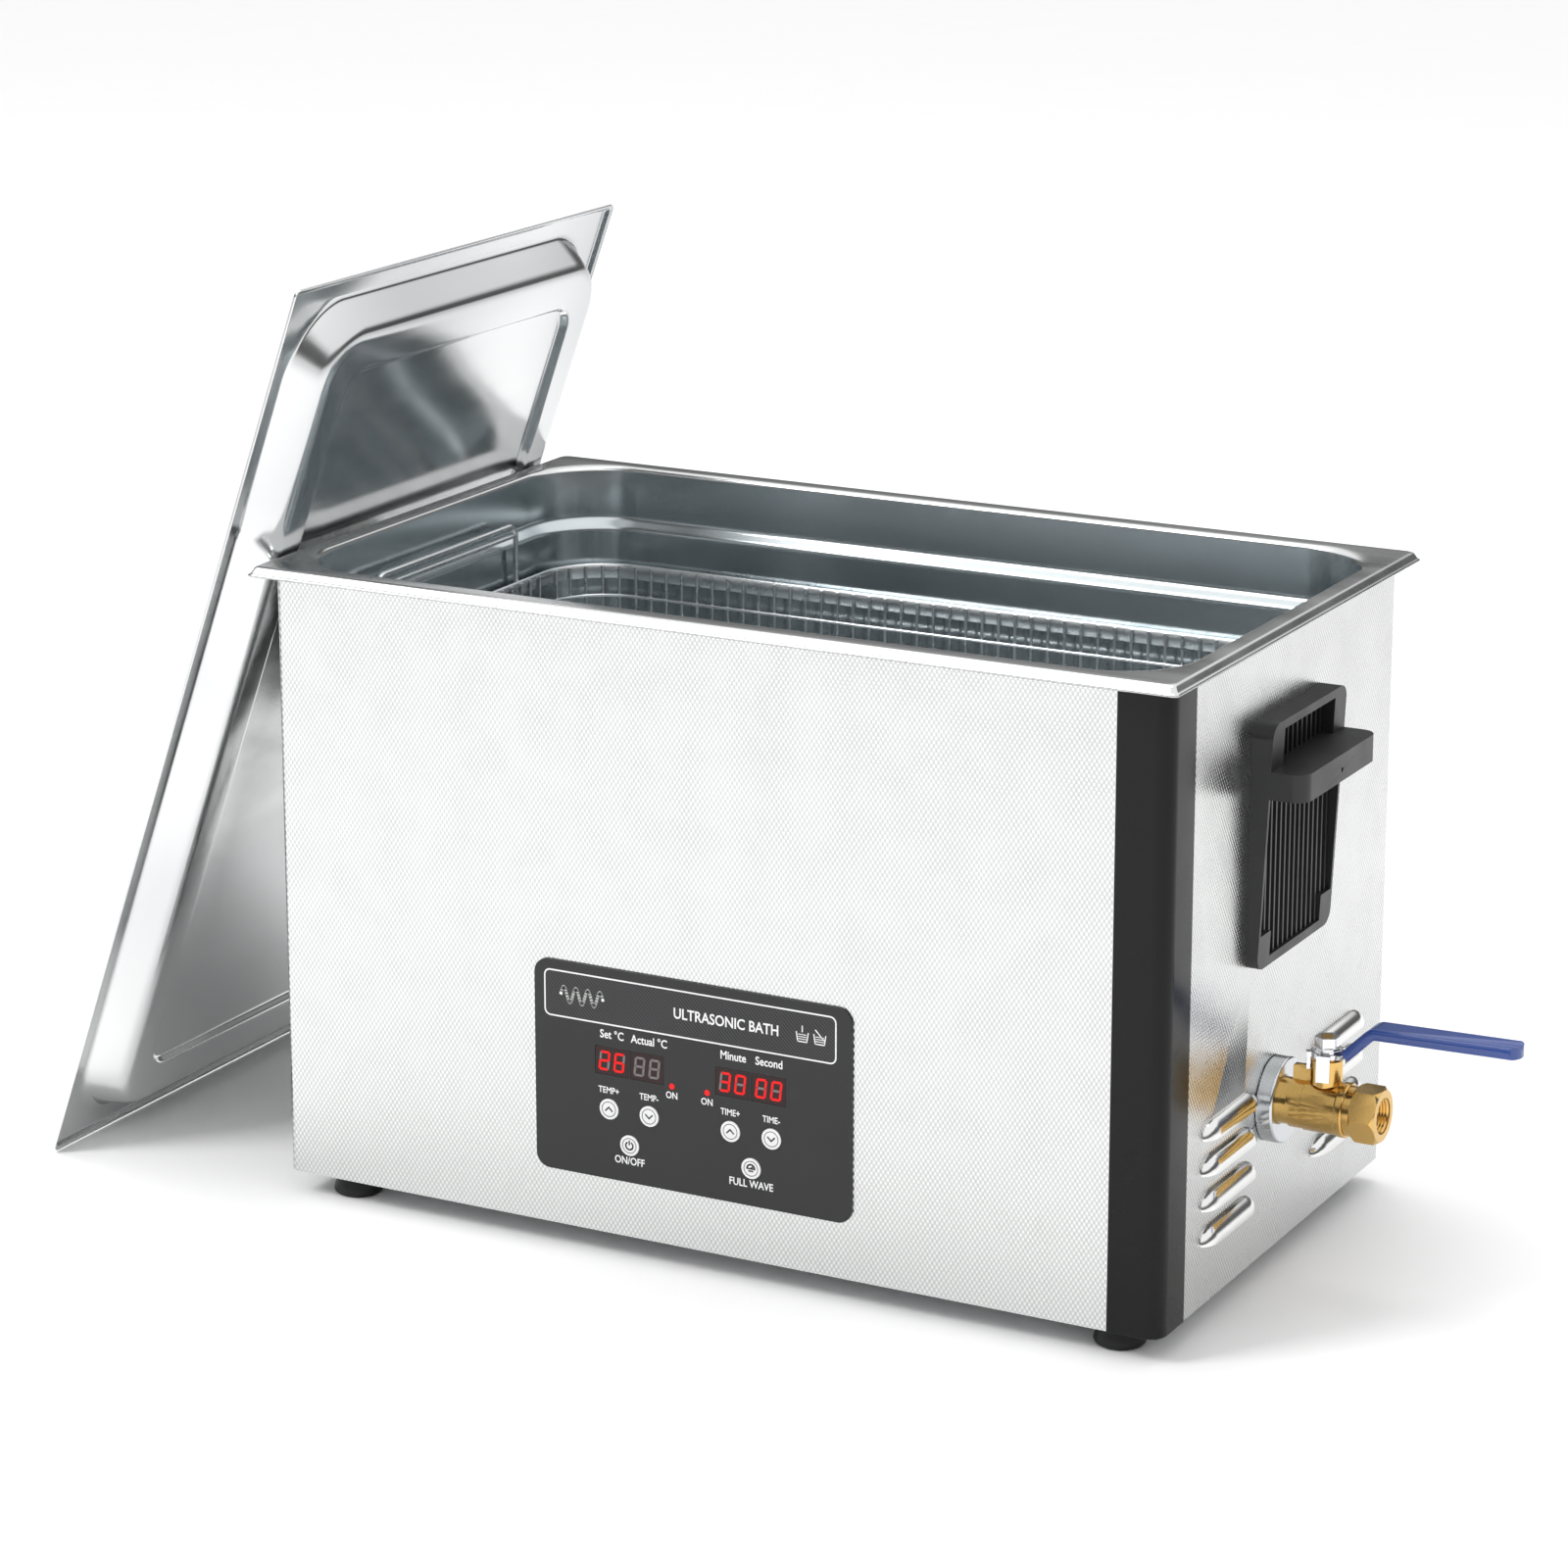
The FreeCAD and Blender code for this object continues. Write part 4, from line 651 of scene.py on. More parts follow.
def arc_points(points: Sequence[Point], bend: float, steps: int = 6) -> list[Vector]:
    """A route through the points, with an arc of the given radius at each inner one.

    Args:
        points: the route's corners.
        bend: the arcs' radius.
        steps: how many stretches each arc has.

    Returns:
        The route's points.
    """
    corners = [Vector(point) for point in points]
    route = [corners[0]]
    for before, here, after in zip(corners, corners[1:], corners[2:]):
        arriving = (here - before).normalized()
        leaving = (after - here).normalized()
        half_turn = arriving.angle(leaving) / 2
        back = bend * math.tan(half_turn)
        centre = here + (leaving - arriving).normalized() * (bend / math.cos(half_turn))
        first = here - arriving * back - centre
        axis = arriving.cross(leaving).normalized()
        for step in range(steps + 1):
            route.append(centre + Matrix.Rotation(2 * half_turn * step / steps, 3, axis) @ first)
    route.append(corners[-1])
    return route


def curve_line(radius: float, first: float, last: float, steps: int = 14) -> list[tuple[float, float]]:
    """Points on an arc about the origin.

    Args:
        radius: the arc's radius.
        first: where it starts, in degrees from +X.
        last: where it ends.
        steps: how many stretches it has.

    Returns:
        The arc's points.
    """
    turns = [math.radians(first + (last - first) * step / steps) for step in range(steps + 1)]
    return [(radius * math.cos(turn), radius * math.sin(turn)) for turn in turns]


def tube(bm: bmesh.types.BMesh, points: Sequence[Sequence[float]], radius: float, sides: int = 8) -> None:
    """Draws a round bar along a route.

    Args:
        bm: the mesh to add to.
        points: the route.
        radius: the bar's radius.
        sides: faces round the bar.
    """
    route = [Vector(point) for point in points]
    headings = [(after - before).normalized() for before, after in zip(route, route[1:])]
    turn = headings[0].to_track_quat("Z", "Y").to_matrix()
    place = Matrix.Translation(route[0]) @ turn.to_4x4()
    made = bmesh.ops.create_circle(bm, cap_ends=True, segments=sides, radius=radius, matrix=place)
    verts = list(made["verts"])
    whole = set(verts)
    edges = [edge for edge in verts[0].link_faces[0].edges if whole.issuperset(edge.verts)]
    for index in range(1, len(route)):
        after = headings[min(index, len(headings) - 1)]
        bisector = (headings[index - 1] + after).normalized()
        current = turn @ Vector((0, 0, 1))
        turn = current.rotation_difference(bisector).to_matrix() @ turn
        target = Matrix.Translation(route[index]) @ turn.to_4x4()
        verts, edges = grow(bm, verts, edges)
        bmesh.ops.transform(bm, matrix=target @ place.inverted(), verts=verts)
        place = target
    bmesh.ops.contextual_create(bm, geom=verts)


def turned_piece(profile: Sequence[tuple[float, float]], place: Matrix, steps: int = 48) -> bmesh.types.BMesh:
    """Spins a profile of (radius, height) points about the Z axis, then places it.

    Args:
        profile: the outline, from one end to the other.
        place: where the turned piece goes.
        steps: faces round the piece.

    Returns:
        A mesh holding the piece, with its normals outwards.
    """
    bm = bmesh.new()
    verts = [bmesh.ops.create_vert(bm, co=(radius, 0.0, height))["vert"][0] for radius, height in profile]
    edges = [bm.edges.new(pair) for pair in zip(verts, verts[1:])]
    bmesh.ops.spin(bm, geom=verts + edges, cent=(0, 0, 0), axis=(0, 0, 1), angle=math.tau, steps=steps,
                   use_merge=True)
    bmesh.ops.remove_doubles(bm, verts=bm.verts, dist=0.0005)
    bmesh.ops.transform(bm, matrix=place, verts=bm.verts)
    bmesh.ops.recalc_face_normals(bm, faces=bm.faces)
    return bm


# ---------------------------------------------------------------- sheet metal
@dataclass
class Housing:
    """The sheet wrap with its pressed louvres, and the plastic corner post."""

    wall: float = 256.7
    post_edge: float = 0.8
    small_edge: float = 0.2

    def build(self) -> None:
        """Makes the wrap and the post."""
        wrap = softened_node("housing_wrap", EMBOSSED_STEEL_PAINTED_SHADE, 0.0)
        wrap.data.materials.append(HOOD_STEEL.material())
        for face in wrap.data.polygons:
            if abs(face.center.x) > self.wall * MM:
                face.material_index = 1
        softened_node("corner_post", POST_PLASTIC, self.post_edge, 3)
        softened_node("rear_screws", ZINC_PLATE, self.small_edge)
        softened_node("rubber_feet", RUBBER, self.small_edge)


@dataclass
class Tank:
    """The deep-drawn tank and the turned-down rim round it."""

    sheet: float = 1.0
    rim: float = 351.0
    step: float = 316.0
    floor: float = 151.0
    lip: float = 6.0
    drain: tuple[float, float, float] = (200.0, -9.5, 8.0)
    fill_shift: float = 10.0

    def rings(self) -> list[Ring]:
        """The visible skin's levels, from the rim's foot to the tank floor."""
        return rounded([
            Ring(265.0, 162.5, 4.0, self.rim - 4.5), Ring(263.5, 161.0, 3.0, self.rim - 3.5, 0.5),
            Ring(261.5, 159.0, 2.5, self.rim, 1.2), Ring(251.0, 146.5, 46.0, self.rim, 2.6),
            Ring(251.0, 146.5, 46.0, self.step + 5.0, 2.0), Ring(246.5, 142.0, 41.5, self.step, 2.0),
            Ring(242.5, 138.0, 37.5, self.floor, 12.0), Ring(200.0, 95.0, 20.0, self.floor)])

    def build(self) -> None:
        """Draws the skin, cuts the drain hole in the floor and gives the sheet its thickness."""
        bm = bmesh.new()
        loft(bm, self.rings(), 12)
        low = [edge for edge in bm.edges if edge.is_boundary and edge.verts[0].co.z < self.floor + 0.01]
        x, y, radius = self.drain
        place = Matrix.Translation((x - self.fill_shift, y, self.floor))
        hole = bmesh.ops.create_circle(bm, segments=32, radius=radius, matrix=place)["verts"]
        inner = [edge for edge in bm.edges if edge.verts[0] in hole and edge.verts[1] in hole]
        bmesh.ops.triangle_fill(bm, use_beauty=True, normal=(0, 0, 1), edges=low + inner)
        face_towards(bm, (0, 0, 1))
        bmesh.ops.translate(bm, verts=hole, vec=(self.fill_shift, 0.0, 0.0))
        # The tank's walls and floor get the darker, bluer steel as painted shade inside the tank; the rim
        # keeps the lighter steel.
        piece = finish_piece("tank_and_rim", bm, "housing", TANK_STEEL_PAINTED_SHADE, ("tank",))
        piece.data.materials.append(RIM_STEEL.material())
        for face in piece.data.polygons:
            if face.center.z > (self.rim - self.lip) * MM:
                face.material_index = 1
        thicken(piece, self.sheet)


@dataclass
class Lid:
    """The pressed lid leaning on the left end of the rim, with the bail on its outside."""

    lean: float = 70.44
    foot_x: float = -406.35
    middle_y: float = 2.8
    length: float = 530.0
    sheet: float = 1.0
    flange: float = -3.5
    plug: float = 16.8
    panel: float = 12.8
    rod: float = 4.5
    half_span: float = 55.0
    bail_root: float = 9.8
    bail_reach: float = -24.2

    def place(self) -> Matrix:
        """Where the lid's own axes (length, width, inward) lie."""
        turn = math.radians(self.lean)
        up = Vector((math.cos(turn), 0.0, math.sin(turn)))
        across = Vector((0.0, -1.0, 0.0))
        inward = up.cross(across)
        turned = Matrix((up, across, inward)).transposed().to_4x4()
        return Matrix.Translation(up * self.length / 2 + Vector((self.foot_x, self.middle_y, 0.0))) @ turned

    def rings(self) -> list[Ring]:
        """The inward side's levels, from the foot tips to the panel floor."""
        return rounded([
            Ring(264.1, 161.6, 3.6, -0.4), Ring(262.3, 159.8, 2.0, -1.2, 0.5),
            Ring(260.5, 158.0, 1.6, self.flange, 1.0), Ring(250.0, 148.0, 40.0, self.flange, 2.2),
            Ring(239.0, 137.0, 29.0, self.plug, 5.5), Ring(217.0, 115.5, 17.0, self.plug, 1.6),
            Ring(214.0, 112.5, 14.0, self.panel, 1.6), Ring(190.0, 90.0, 8.0, self.panel)])

    def build(self) -> None:
        """Makes the pressed sheet, the bail and its weld pads."""
        bm = bmesh.new()
        loft(bm, self.rings(), 12, last_cap=True)
        face_towards(bm, (0, 0, 1))
        bmesh.ops.transform(bm, matrix=self.place(), verts=bm.verts)
        piece = finish_piece("lid_sheet", bm, "lid", LID_STEEL, ("lid",))
        thicken(piece, self.sheet)
        bm = bmesh.new()
        half, root, reach = self.half_span, self.bail_root, self.bail_reach
        corners = [(0, -half, root), (0, -half, reach), (0, half, reach), (0, half, root)]
        tube(bm, arc_points(corners, 14.0, 10), self.rod, 20)
        bmesh.ops.transform(bm, matrix=self.place(), verts=bm.verts)
        bmesh.ops.recalc_face_normals(bm, faces=bm.faces)
        finish_piece("lid_bail", bm, "lid", WIRE_STEEL, ("lid_handle",))
        softened_node("lid_handle_pads", WIRE_STEEL, 0.3)


# ---------------------------------------------------------------- basket
@dataclass
class Basket:
    """The welded wire basket, with a band round its top, two bails and two foot runners."""

    half_x: float = 240.5
    half_y: float = 137.0
    corner: float = 40.0
    band: tuple[float, float] = (288.5, 297.0)
    thick: float = 2.0
    wire: float = 0.9
    pitch: float = 10.0
    floor: float = 187.0
    rows: tuple[float, ...] = (279.0, 256.0, 233.0, 210.0)
    bail: float = 1.6
    half_span: float = 71.5

    @property
    def line(self) -> tuple[float, float, float]:
        """Half the length, half the width and the corner of the uprights' ring."""
        inward = self.thick + self.wire
        return self.half_x - inward, self.half_y - inward, self.corner - inward

    def finish(self, name: str, bm: bmesh.types.BMesh, replaced: str) -> None:
        """Turns a wire mesh into a piece of the basket.

        Args:
            name: the piece's name.
            bm: its mesh.
            replaced: the CAD node it stands for.
        """
        bmesh.ops.recalc_face_normals(bm, faces=bm.faces)
        finish_piece(name, bm, "basket", WIRE_STEEL, (replaced,), sharp=50.0)

    def build(self) -> None:
        """Makes every piece of the basket."""
        self.build_band()
        self.build_walls()
        self.build_corners()
        self.build_floor()
        self.build_bails()
        self.build_feet()

    def build_band(self) -> None:
        """The flat band, as a closed loop of sheet."""
        low, high = self.band
        inner = (self.half_x - self.thick, self.half_y - self.thick, self.corner - self.thick)
        edge = 0.45
        outline = [Ring(self.half_x, self.half_y, self.corner, low + edge),
                   Ring(self.half_x, self.half_y, self.corner, high - edge),
                   Ring(self.half_x - edge, self.half_y - edge, self.corner - edge, high),
                   Ring(inner[0] + edge, inner[1] + edge, inner[2] + edge, high), Ring(*inner, high - edge),
                   Ring(*inner, low + edge), Ring(inner[0] + edge, inner[1] + edge, inner[2] + edge, low),
                   Ring(self.half_x - edge, self.half_y - edge, self.corner - edge, low),
                   Ring(self.half_x, self.half_y, self.corner, low + edge)]
        bm = bmesh.new()
        loft(bm, outline, 12, closed=True)
        self.finish("basket_band", bm, "basket_rim")

    def build_walls(self) -> None:
        """The straight walls: uprights with cross wires just inside them."""
        ring_x, ring_y, corner = self.line
        inset = 1.6 * self.wire
        long_wall, end_wall = bmesh.new(), bmesh.new()
        top = self.band[1] - 1.0
        for side in (-1, 1):
            for x in steps_across(ring_x - corner, self.pitch):
                tube(long_wall, [(x, side * ring_y, self.floor), (x, side * ring_y, top)], self.wire)
            for y in steps_across(ring_y - corner, self.pitch):
                tube(end_wall, [(side * ring_x, y, self.floor), (side * ring_x, y, top)], self.wire)
            for z in self.rows:
                y, x = side * (ring_y - inset), side * (ring_x - inset)
                tube(long_wall, [(corner - ring_x, y, z), (ring_x - corner, y, z)], self.wire)
                tube(end_wall, [(x, corner - ring_y, z), (x, ring_y - corner, z)], self.wire)
        self.finish("basket_side_wires", long_wall, "basket_long_walls")
        self.finish("basket_end_wires", end_wall, "basket_end_walls")

    def build_corners(self) -> None:
        """The uprights and curved cross wires at the four corners."""
        ring_x, ring_y, corner = self.line
        bend = corner - 1.6 * self.wire
        bm = bmesh.new()
        for quarter in range(4):
            side_x = 1 if quarter in (0, 3) else -1
            side_y = 1 if quarter in (0, 1) else -1
            centre_x, centre_y = side_x * (ring_x - corner), side_y * (ring_y - corner)
            for step in range(1, 6):
                turn = math.radians(90 * quarter + 15 * step)
                x, y = centre_x + corner * math.cos(turn), centre_y + corner * math.sin(turn)
                tube(bm, [(x, y, self.floor), (x, y, self.band[1] - 1.0)], self.wire)
            arc = curve_line(bend, 90.0 * quarter, 90.0 * quarter + 90.0, 12)
            for z in self.rows:
                tube(bm, [(centre_x + x, centre_y + y, z) for x, y in arc], self.wire)
        self.finish("basket_corner_wires", bm, "basket_corners")

    def build_floor(self) -> None:
        """The floor: a ring wire, cross wires and the runners below them."""
        ring_x, ring_y, corner = self.line
        low = self.floor - self.wire
        bm = bmesh.new()
        outline = []
        for step in range(9):
            turn = math.tau * step / 8
            reach, rise = self.wire * math.cos(turn), self.wire * math.sin(turn)
            outline.append(Ring(ring_x + reach, ring_y + reach, corner + reach, low + rise))
        loft(bm, outline, 8, closed=True)
        reach_y, reach_x = ring_y - 0.5 * self.wire, ring_x - 0.5 * self.wire
        for x in steps_across(ring_x - corner, self.pitch):
            tube(bm, [(x, -reach_y, low), (x, reach_y, low)], self.wire)
        for y in (-90.0, -45.0, 0.0, 45.0, 90.0):
            drop = low - 1.6 * self.wire
            tube(bm, [(-reach_x, y, drop), (reach_x, y, drop)], self.wire)
        self.finish("basket_floor_wires", bm, "basket_floor_mesh")

    def build_bails(self) -> None:
        """A double-bar bail at each end."""
        bm = bmesh.new()
        for side in (-1, 1):
            x = side * (self.half_x + self.bail)
            corners = [(x, -self.half_span, 268.0), (x, -self.half_span, 329.0), (x, self.half_span, 329.0),
                       (x, self.half_span, 268.0)]
            tube(bm, arc_points(corners, 7.0, 8), self.bail, 14)
            tube(bm, [(x, -self.half_span, 323.0), (x, self.half_span, 323.0)], self.bail * 0.8, 12)
        self.finish("basket_bails", bm, "basket_handles")

    def build_feet(self) -> None:
        """The two bent runners that stand on the tank floor."""
        low, high = span("basket_feet")
        bottom, top = low.z + 1.8, high.z - 1.8
        bm = bmesh.new()
        for x in (-150.0, 150.0):
            corners = [(x, -67.0, top), (x, -45.0, bottom), (x, 45.0, bottom), (x, 67.0, top)]
            tube(bm, arc_points(corners, 8.0, 6), 1.8, 12)
        self.finish("basket_runners", bm, "basket_feet")


def steps_across(half_run: float, pitch: float) -> list[float]:
    """Positions a whole pitch apart, centred on 0.

    Args:
        half_run: the furthest position there may be.
        pitch: the distance between neighbours.

    Returns:
        The positions, in order.
    """
    count = int(half_run // pitch)
    return [step * pitch for step in range(-count, count + 1)]


# ---------------------------------------------------------------- panel
@dataclass(frozen=True)
class Label:
    """A line of text on the panel: its middle and its capital height."""

    text: str
    x: float
    z: float
    height: float


@dataclass
class Panel:
    """The keypad and display panel on the front."""

    face: float = -150.4
    labels: tuple[Label, ...] = (
        Label("Set °C", -52.7, 121.6, 4.4), Label("Actual °C", -30.6, 121.6, 4.4),
        Label("Minute", 18.6, 121.6, 4.4), Label("Second", 39.4, 121.6, 4.4),
        Label("ON", -17.4, 95.0, 3.6), Label("ON", 3.3, 95.0, 3.6),
        Label("TEMP+", -54.8, 91.6, 3.4), Label("TEMP-", -30.9, 91.6, 3.4),
        Label("TIME+", 16.9, 91.6, 3.4), Label("TIME-", 40.7, 91.6, 3.4),
        Label("ON/OFF", -42.7, 54.6, 4.0), Label("FULL WAVE", 28.9, 54.6, 4.0))
    keys: dict[str, tuple[float, float]] = field(default_factory=lambda: {
        "key_temperature_up": (-54.8, 82.9), "key_temperature_down": (-30.9, 82.9),
        "key_time_up": (16.9, 82.9), "key_time_down": (40.7, 82.9),
        "key_power": (-42.7, 64.9), "key_full_wave": (28.9, 64.9)})
    displays: tuple[tuple[float, str], ...] = ((-62.9, "26"), (-42.1, "  "), (8.2, "30"), (29.1, "00"))
    title: tuple[float, float, float, float] = (-93.0, 128.8, 78.0, 154.3)
    title_lift: float = 0.1
    pane_face: float = -150.28
    figure_width: float = 8.8
    figure_middle: float = 109.1

    def build(self) -> None:
        """Makes the panel, its displays, lamps, keys, labels and marks."""
        softened_node("control_panel", PANEL_PLASTIC, 0.35, 3)
        softened_node("display_windows", DISPLAY_PANE, 0.12)
        softened_node("indicator_lenses", LAMP_LENS, 0.25, 3)
        self.build_title()
        self.build_labels()
        self.build_digits()
        for name, (x, z) in self.keys.items():
            softened_node(name, WHITE_KEY, 0.25, 3)
            self.build_key_mark(name, x, z)

    def build_title(self) -> None:
        """The hatched title box, its white outline, its words and the generic marks inside it."""
        x0, z0, x1, z1 = self.title
        centre = ((x0 + x1) / 2, (z0 + z1) / 2)
        half_x, half_z = (x1 - x0) / 2, (z1 - z0) / 2
        bm = bmesh.new()
        inset, line = 0.4, 0.8
        field_x, field_z = half_x - inset, half_z - inset
        loft(bm, [Ring(field_x, field_z, 3.2, -0.5), Ring(field_x, field_z, 3.2, 0.06)], 6, last_cap=True)
        self.upright(bm, centre)
        finish_piece("title_field", bm, "housing", TITLE_FIELD)
        bm = bmesh.new()
        inner_x, inner_z = half_x - line, half_z - line
        loft(bm, [Ring(half_x, half_z, 3.6, -0.4), Ring(half_x, half_z, 3.6, 0.12),
                  Ring(inner_x, inner_z, 2.8, 0.12), Ring(inner_x, inner_z, 2.8, -0.4)], 6)
        self.upright(bm, centre)
        finish_piece("title_outline", bm, "housing", WHITE_INK)
        bm = bmesh.new()
        self.draw_wave(bm, x0 + 10.0, centre[1])
        immersed, drained = x1 - 19.5, x1 - 9.5
        self.draw_tub(bm, immersed, centre[1])
        self.draw_tub(bm, drained, centre[1])
        self.stroke(bm, [(drained - 2.5, centre[1] + 4.0), (drained + 2.5, centre[1] - 1.0)], 0.6)
        self.stroke(bm, [(immersed, centre[1] + 5.0), (immersed, centre[1] + 1.8)], 0.6)
        self.finish_marks("title_marks", bm, WHITE_INK, self.face - self.title_lift)
        words = Label("ULTRASONIC BATH", centre[0] + 22.0, centre[1] - 2.6, 5.6)
        self.build_text("title_words", [words], self.title_lift)

    def draw_wave(self, bm: bmesh.types.BMesh, left: float, level: float) -> None:
        """Draws a sound wave.

        Args:
            bm: the mesh to add to.
            left: where it starts.
            level: the height that it swings about.
        """
        step, swing, turn = 0.45, 4.0, math.pi / 8
        wave = [(left + index * step, level + swing * math.sin(index * turn)) for index in range(57)]
        self.stroke(bm, wave, 1.6)

    def draw_tub(self, bm: bmesh.types.BMesh, base: float, level: float) -> None:
        """Draws a tub with three lines of water in it.

        Args:
            bm: the mesh to add to.
            base: the tub's middle.
            level: the title box's middle height.
        """
        top, foot = level + 1.6, level - 3.4
        self.stroke(bm, [(base - 3.4, top), (base - 2.6, foot), (base + 2.6, foot), (base + 3.4, top)], 0.6)
        for line in range(3):
            water = level + 0.4 - 1.2 * line
            self.stroke(bm, [(base - 2.2, water), (base + 2.2, water)], 0.4)

    def upright(self, bm: bmesh.types.BMesh, centre: tuple[float, float]) -> None:
        """Stands a flat mesh up on the panel's face.

        Args:
            bm: the mesh, in the XY plane.
            centre: where its origin goes, along the panel and up it.
        """
        place = Matrix.Translation((centre[0], self.face, centre[1])) @ STOOD_UP
        bmesh.ops.transform(bm, matrix=place, verts=bm.verts)
        bmesh.ops.recalc_face_normals(bm, faces=bm.faces)

    def stroke(self, bm: bmesh.types.BMesh, points: Sequence[tuple[float, float]], width: float) -> None:
        """Draws a flat line of short bars, in the panel's plane.

        Args:
            bm: the mesh to add to.
            points: the line's (x, z) points.
            width: how wide it is.
        """
        for (x0, z0), (x1, z1) in zip(points, points[1:]):
            length = math.hypot(x1 - x0, z1 - z0)
            turn = Matrix.Translation(((x0 + x1) / 2, 0.0, (z0 + z1) / 2))
            turn = turn @ Matrix.Rotation(-math.atan2(z1 - z0, x1 - x0), 4, "Y")
            place = turn @ Matrix.Diagonal((length + 0.55 * width, 0.3, width, 1.0))
            bmesh.ops.create_cube(bm, size=1.0, matrix=place)

    def finish_marks(self, name: str, bm: bmesh.types.BMesh, look: Finish, face: float,
                     body: str = "housing") -> None:
        """Sets flat marks so that they stand 0.06 mm proud of a face.

        Args:
            name: the piece's name.
            bm: the marks, in the panel's plane.
            look: their finish.
            face: the face's Y.
            body: the CAD body they ride on.
        """
        bmesh.ops.translate(bm, verts=bm.verts, vec=(0.0, face + 0.09, 0.0))
        finish_piece(name, bm, body, look)

    def build_labels(self) -> None:
        """The white words by the displays, lamps and keys."""
        self.build_text("panel_words", self.labels)

    def build_text(self, name: str, labels: Iterable[Label], lift: float = 0.0) -> None:
        """Draws words as one thin raised mesh.

        Args:
            name: the piece's name.
            labels: the words and where they go.
            lift: how far the words stand in front of the panel's face.
        """
        bm = bmesh.new()
        for label in labels:
            curve = bpy.data.curves.new(name, "FONT")
            curve.body = label.text
            curve.align_x = "CENTER"
            curve.size = label.height / 0.70
            curve.extrude = 0.12
            curve.offset = 0.022 * label.height
            curve.resolution_u = 3
            holder = bpy.data.objects.new(name, curve)
            mesh = bpy.data.meshes.new_from_object(holder)
            part = bmesh.new()
            part.from_mesh(mesh)
            squeeze = Matrix.Diagonal((0.86, 1.0, 1.0, 1.0))
            place = Matrix.Translation((label.x, self.face + 0.06 - lift, label.z)) @ STOOD_UP
            bmesh.ops.transform(part, matrix=place @ squeeze, verts=part.verts)
            part.to_mesh(mesh)
            part.free()
            bm.from_mesh(mesh)
            bpy.data.objects.remove(holder)
            bpy.data.curves.remove(curve)
            bpy.data.meshes.remove(mesh)
        bmesh.ops.remove_doubles(bm, verts=bm.verts, dist=0.0005)
        finish_piece(name, bm, "housing", WHITE_INK)

    def build_digits(self) -> None:
        """Seven-segment figures, lit red or unlit grey."""
        lit, unlit = bmesh.new(), bmesh.new()
        for left, figures in self.displays:
            for index, figure in enumerate(figures):
                centre = left + 5.6 + self.figure_width * index
                self.build_figure((lit, unlit), figure, centre, self.figure_middle)
        self.finish_marks("lit_segments", lit, LIT_SEGMENT, self.pane_face)
        self.finish_marks("unlit_segments", unlit, UNLIT_SEGMENT, self.pane_face)

    def build_figure(self, meshes: tuple[bmesh.types.BMesh, bmesh.types.BMesh], figure: str, x: float,
                     z: float) -> None:
        """One seven-segment figure, 6 mm wide and 11 mm tall, leaning slightly.

        Args:
            meshes: the lit and the unlit segments' meshes.
            figure: the figure, or a space for none.
            x: its middle, along the panel.
            z: its middle height.
        """
        lit, unlit = meshes
        shown = SEGMENTS[figure]
        gap = 0.10
        for index, (x0, z0, x1, z1) in enumerate(SEGMENT_LINES):
            start = Vector((x + 2.5 * x0 + 0.5 * z0, z + 4.7 * z0))
            end = Vector((x + 2.5 * x1 + 0.5 * z1, z + 4.7 * z1))
            ends = [start.lerp(end, gap), end.lerp(start, gap)]
            self.stroke(lit if index in shown else unlit, ends, 1.25)

    def build_key_mark(self, name: str, x: float, z: float) -> None:
        """The dark inner ring and the icon on one key.

        Args:
            name: the key's CAD node.
            x: the key's middle, along the panel.
            z: its middle height.
        """
        bm = bmesh.new()
        self.stroke(bm, [(x + px, z + pz) for px, pz in curve_line(4.0, 0.0, 360.0, 36)], 0.35)
        for line in KEY_ICONS[name]:
            self.stroke(bm, [(x + px, z + pz) for px, pz in line], 0.85)
        low, _ = span(name)
        self.finish_marks(name + "_mark", bm, KEY_MARK, low.y, frame["nodes"][name]["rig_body"])


# The seven segments' ends, as shares of half a figure's width and height, and the segments each figure lights.
SEGMENT_LINES = ((-1, 1, 1, 1), (1, 1, 1, 0), (1, 0, 1, -1), (-1, -1, 1, -1), (-1, 0, -1, -1),
                 (-1, 1, -1, 0), (-1, 0, 1, 0))
SEGMENTS = {
    "0": (0, 1, 2, 3, 4, 5), "2": (0, 1, 6, 4, 3), "3": (0, 1, 2, 3, 6), "6": (0, 2, 3, 4, 5, 6), " ": ()}
UP_MARK = [[(-2.0, -0.9), (0.0, 1.1), (2.0, -0.9)]]
DOWN_MARK = [[(-2.0, 0.9), (0.0, -1.1), (2.0, 0.9)]]
KEY_ICONS = {
    "key_temperature_up": UP_MARK, "key_time_up": UP_MARK, "key_temperature_down": DOWN_MARK,
    "key_time_down": DOWN_MARK, "key_power": [curve_line(2.1, 125.0, 415.0, 20), [(0.0, 0.5), (0.0, 2.7)]],
    "key_full_wave": [curve_line(2.2, 0.0, 180.0), [(-2.4, 0.0), (2.4, 0.0)], [(0.0, 0.0), (1.2, 1.3)],
                      [(-1.2, -1.3), (1.2, -1.3)]]}


# ---------------------------------------------------------------- grips, valve and rear
@dataclass
class SideGrips:
    """The two ribbed grips and their screws."""

    edge: float = 0.7

    def build(self) -> None:
        """Makes both grips."""
        for node in ("side_handle_right", "side_handle_left"):
            softened_node(node, GRIP_PLASTIC, self.edge, 3)
        softened_node("side_handle_screws", ZINC_PLATE, 0.0)


